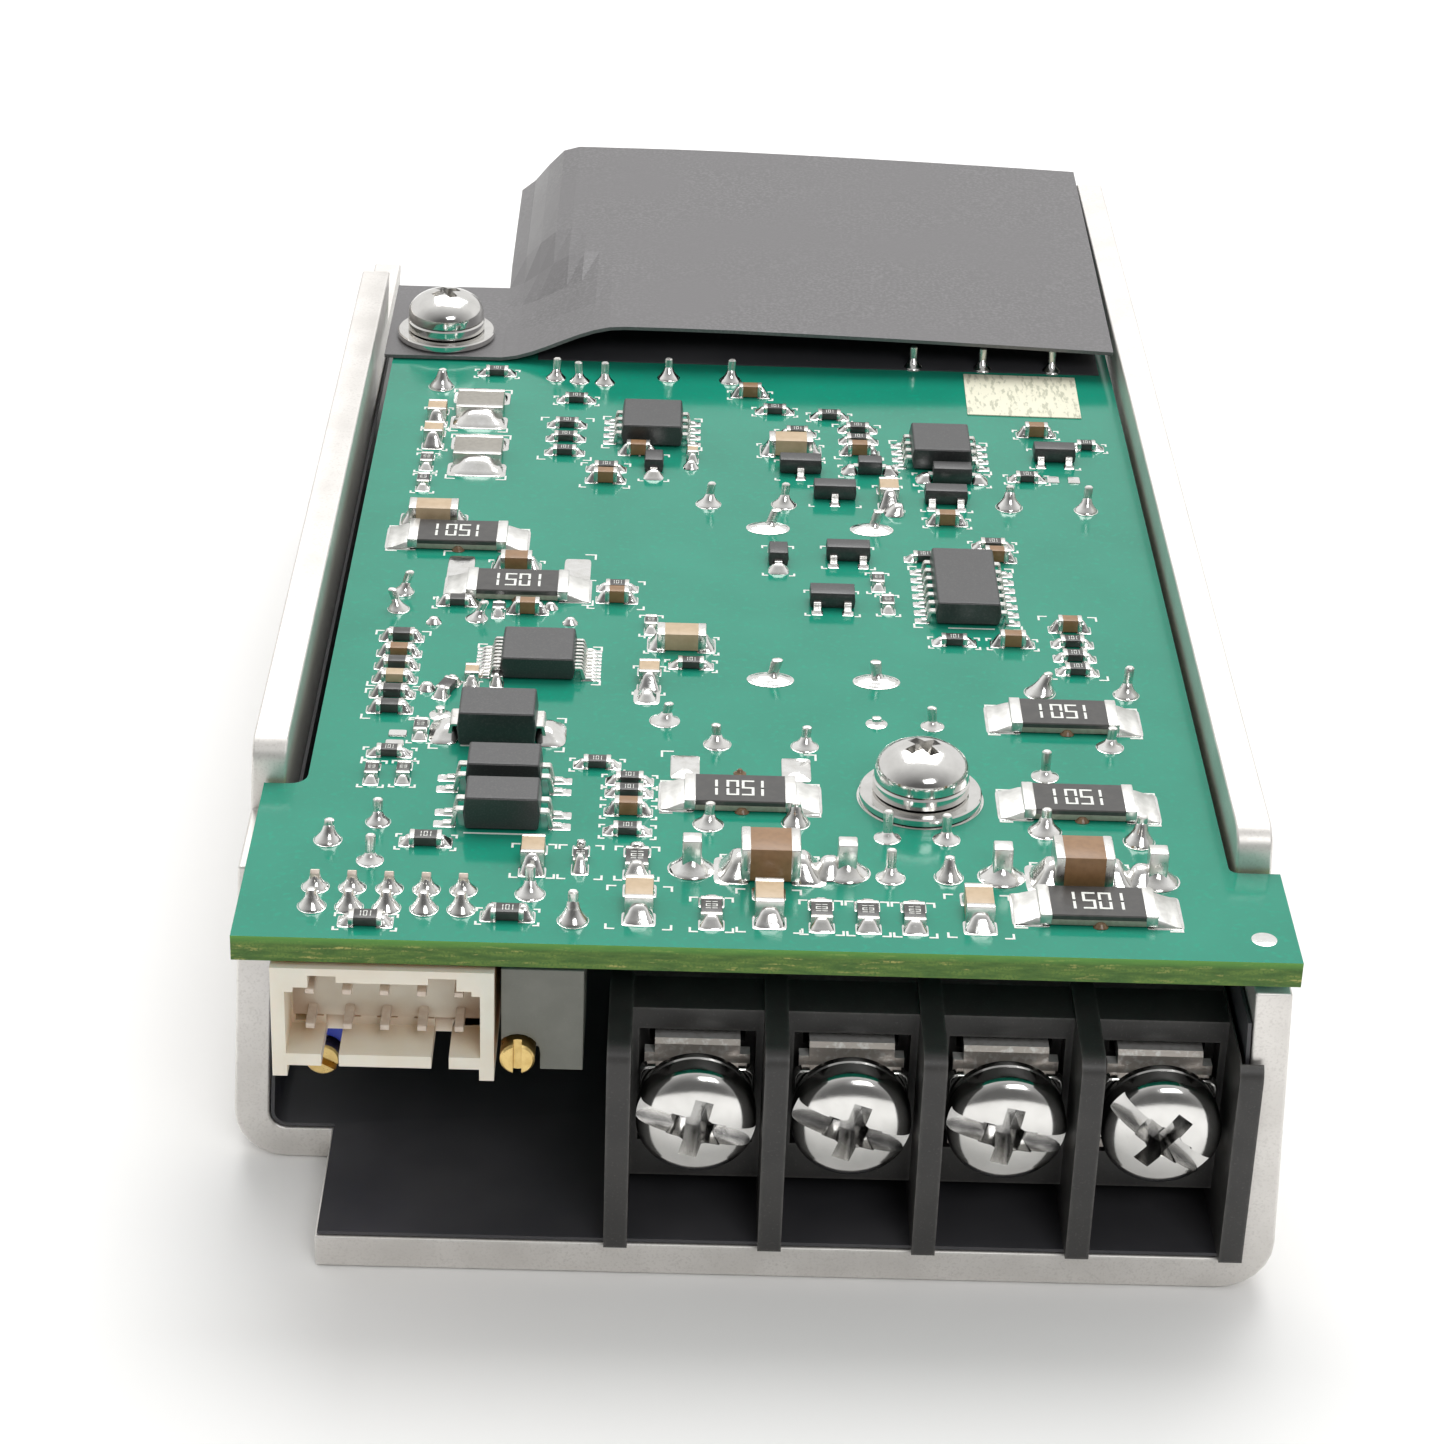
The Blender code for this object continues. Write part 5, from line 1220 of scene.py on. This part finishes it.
def make_stage():
    """A white floor that runs out of sight."""
    work = bmesh.new()
    bmesh.ops.create_grid(work, x_segments=1, y_segments=1, size=3.0)
    floor = object_of(work, "studio_floor")
    floor.location.z = -0.05 * MM
    paper = Finish("studio_paper", (0.93, 0.928, 0.92), 0.9).mottle(40.0, (0.94, 0.938, 0.93))
    floor.data.materials.append(paper.made(Specular_IOR_Level=0.1))


def make_world():
    """White all round and bright overhead, with a darker side behind the camera."""
    world = bpy.data.worlds.new("studio")
    bpy.context.scene.world = world
    world.use_nodes = True
    tree = world.node_tree
    background = tree.nodes["Background"]
    split = tree.nodes.new("ShaderNodeSeparateXYZ")
    tree.links.new(tree.nodes.new("ShaderNodeTexCoord").outputs["Generated"], split.inputs[0])
    ramp = tree.nodes.new("ShaderNodeMapRange")
    ramp.inputs["From Min"].default_value = -0.9
    ramp.inputs["From Max"].default_value = 0.2
    ramp.inputs["To Min"].default_value = 0.13
    ramp.inputs["To Max"].default_value = 0.90
    tree.links.new(split.outputs["Y"], ramp.inputs["Value"])
    tree.links.new(ramp.outputs[0], background.inputs["Strength"])
    background.inputs["Color"].default_value = (1.0, 0.995, 0.985, 1.0)


def add_softbox(name, place, aim, size, power):
    light = bpy.data.lights.new(name, "AREA")
    light.shape = "RECTANGLE"
    light.size, light.size_y = size
    light.energy = power
    obj = bpy.data.objects.new(name, light)
    bpy.context.scene.collection.objects.link(obj)
    obj.location = place
    obj.rotation_euler = (Vector(aim) - Vector(place)).to_track_quat("-Z", "Y").to_euler()


def make_lights():
    add_softbox("overhead_softbox", (0.03, 0.32, 0.60), (0, 0, 0.01), (0.50, 0.40), 3.0)
    add_softbox("front_softbox", (0.16, -0.50, 0.42), (0, 0, 0.01), (0.24, 0.18), 0.9)


CAMERA_PLACE = Vector((-5.11, -218.21, 123.22)) * MM
CAMERA_YAW = math.radians(1.016)
CAMERA_DIP = math.radians(28.52)
CAMERA_ROLL = math.radians(-2.034)
CAMERA_LENS = 90.15


def make_camera():
    forward = Vector((math.sin(CAMERA_YAW) * math.cos(CAMERA_DIP),
                      math.cos(CAMERA_YAW) * math.cos(CAMERA_DIP), -math.sin(CAMERA_DIP)))
    level_right = Vector((math.cos(CAMERA_YAW), -math.sin(CAMERA_YAW), 0))
    down = forward.cross(level_right)
    right = level_right * math.cos(CAMERA_ROLL) + down * math.sin(CAMERA_ROLL)
    up = right.cross(forward)
    data = bpy.data.cameras.new("camera")
    data.lens = CAMERA_LENS
    data.sensor_width = 36.0
    data.clip_start = 0.01
    camera = bpy.data.objects.new("camera", data)
    bpy.context.scene.collection.objects.link(camera)
    turn = Matrix((right, up, -forward)).transposed().to_4x4()
    camera.matrix_world = Matrix.Translation(CAMERA_PLACE) @ turn
    bpy.context.scene.camera = camera


# ---------------------------------------------------------------- carried-over CAD nodes


def dress_cad_nodes(finishes):
    """Every CAD node that stays in view gets a finish of its own."""
    finish_of = {
        "aluminium": "aluminium", "black_film": "film", "cover_film": "cover", "board": "board",
        "black_plastic": "black", "ivory_plastic": "ivory", "nickel": "nickel", "brass": "brass",
        "grey_plastic": "grey", "blue_plastic": "blue", "chip_black": "chip", "resistor": "glaze",
        "capacitor_sleeve": "sleeve", "ferrite": "ferrite", "thermal_rubber": "rubber",
    }
    for node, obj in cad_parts.items():
        slots = obj.material_slots
        name = slots[0].material.name.split(".")[0] if slots else "nickel"
        slots[0].material = finishes[finish_of.get(name, "nickel")]


def build():
    bpy.context.scene.view_settings.view_transform = "Standard"
    finishes = make_finishes()
    dress_cad_nodes(finishes)
    make_refined(finishes)
    make_terminal_screws(finishes)
    make_board_screws(finishes)
    make_washers(finishes)
    make_board_parts(finishes)
    make_lining(finishes)
    make_shade_under_film(finishes)
    make_socket_wall(finishes)
    make_label(finishes)
    make_stage()
    make_world()
    make_lights()
    make_camera()


build()
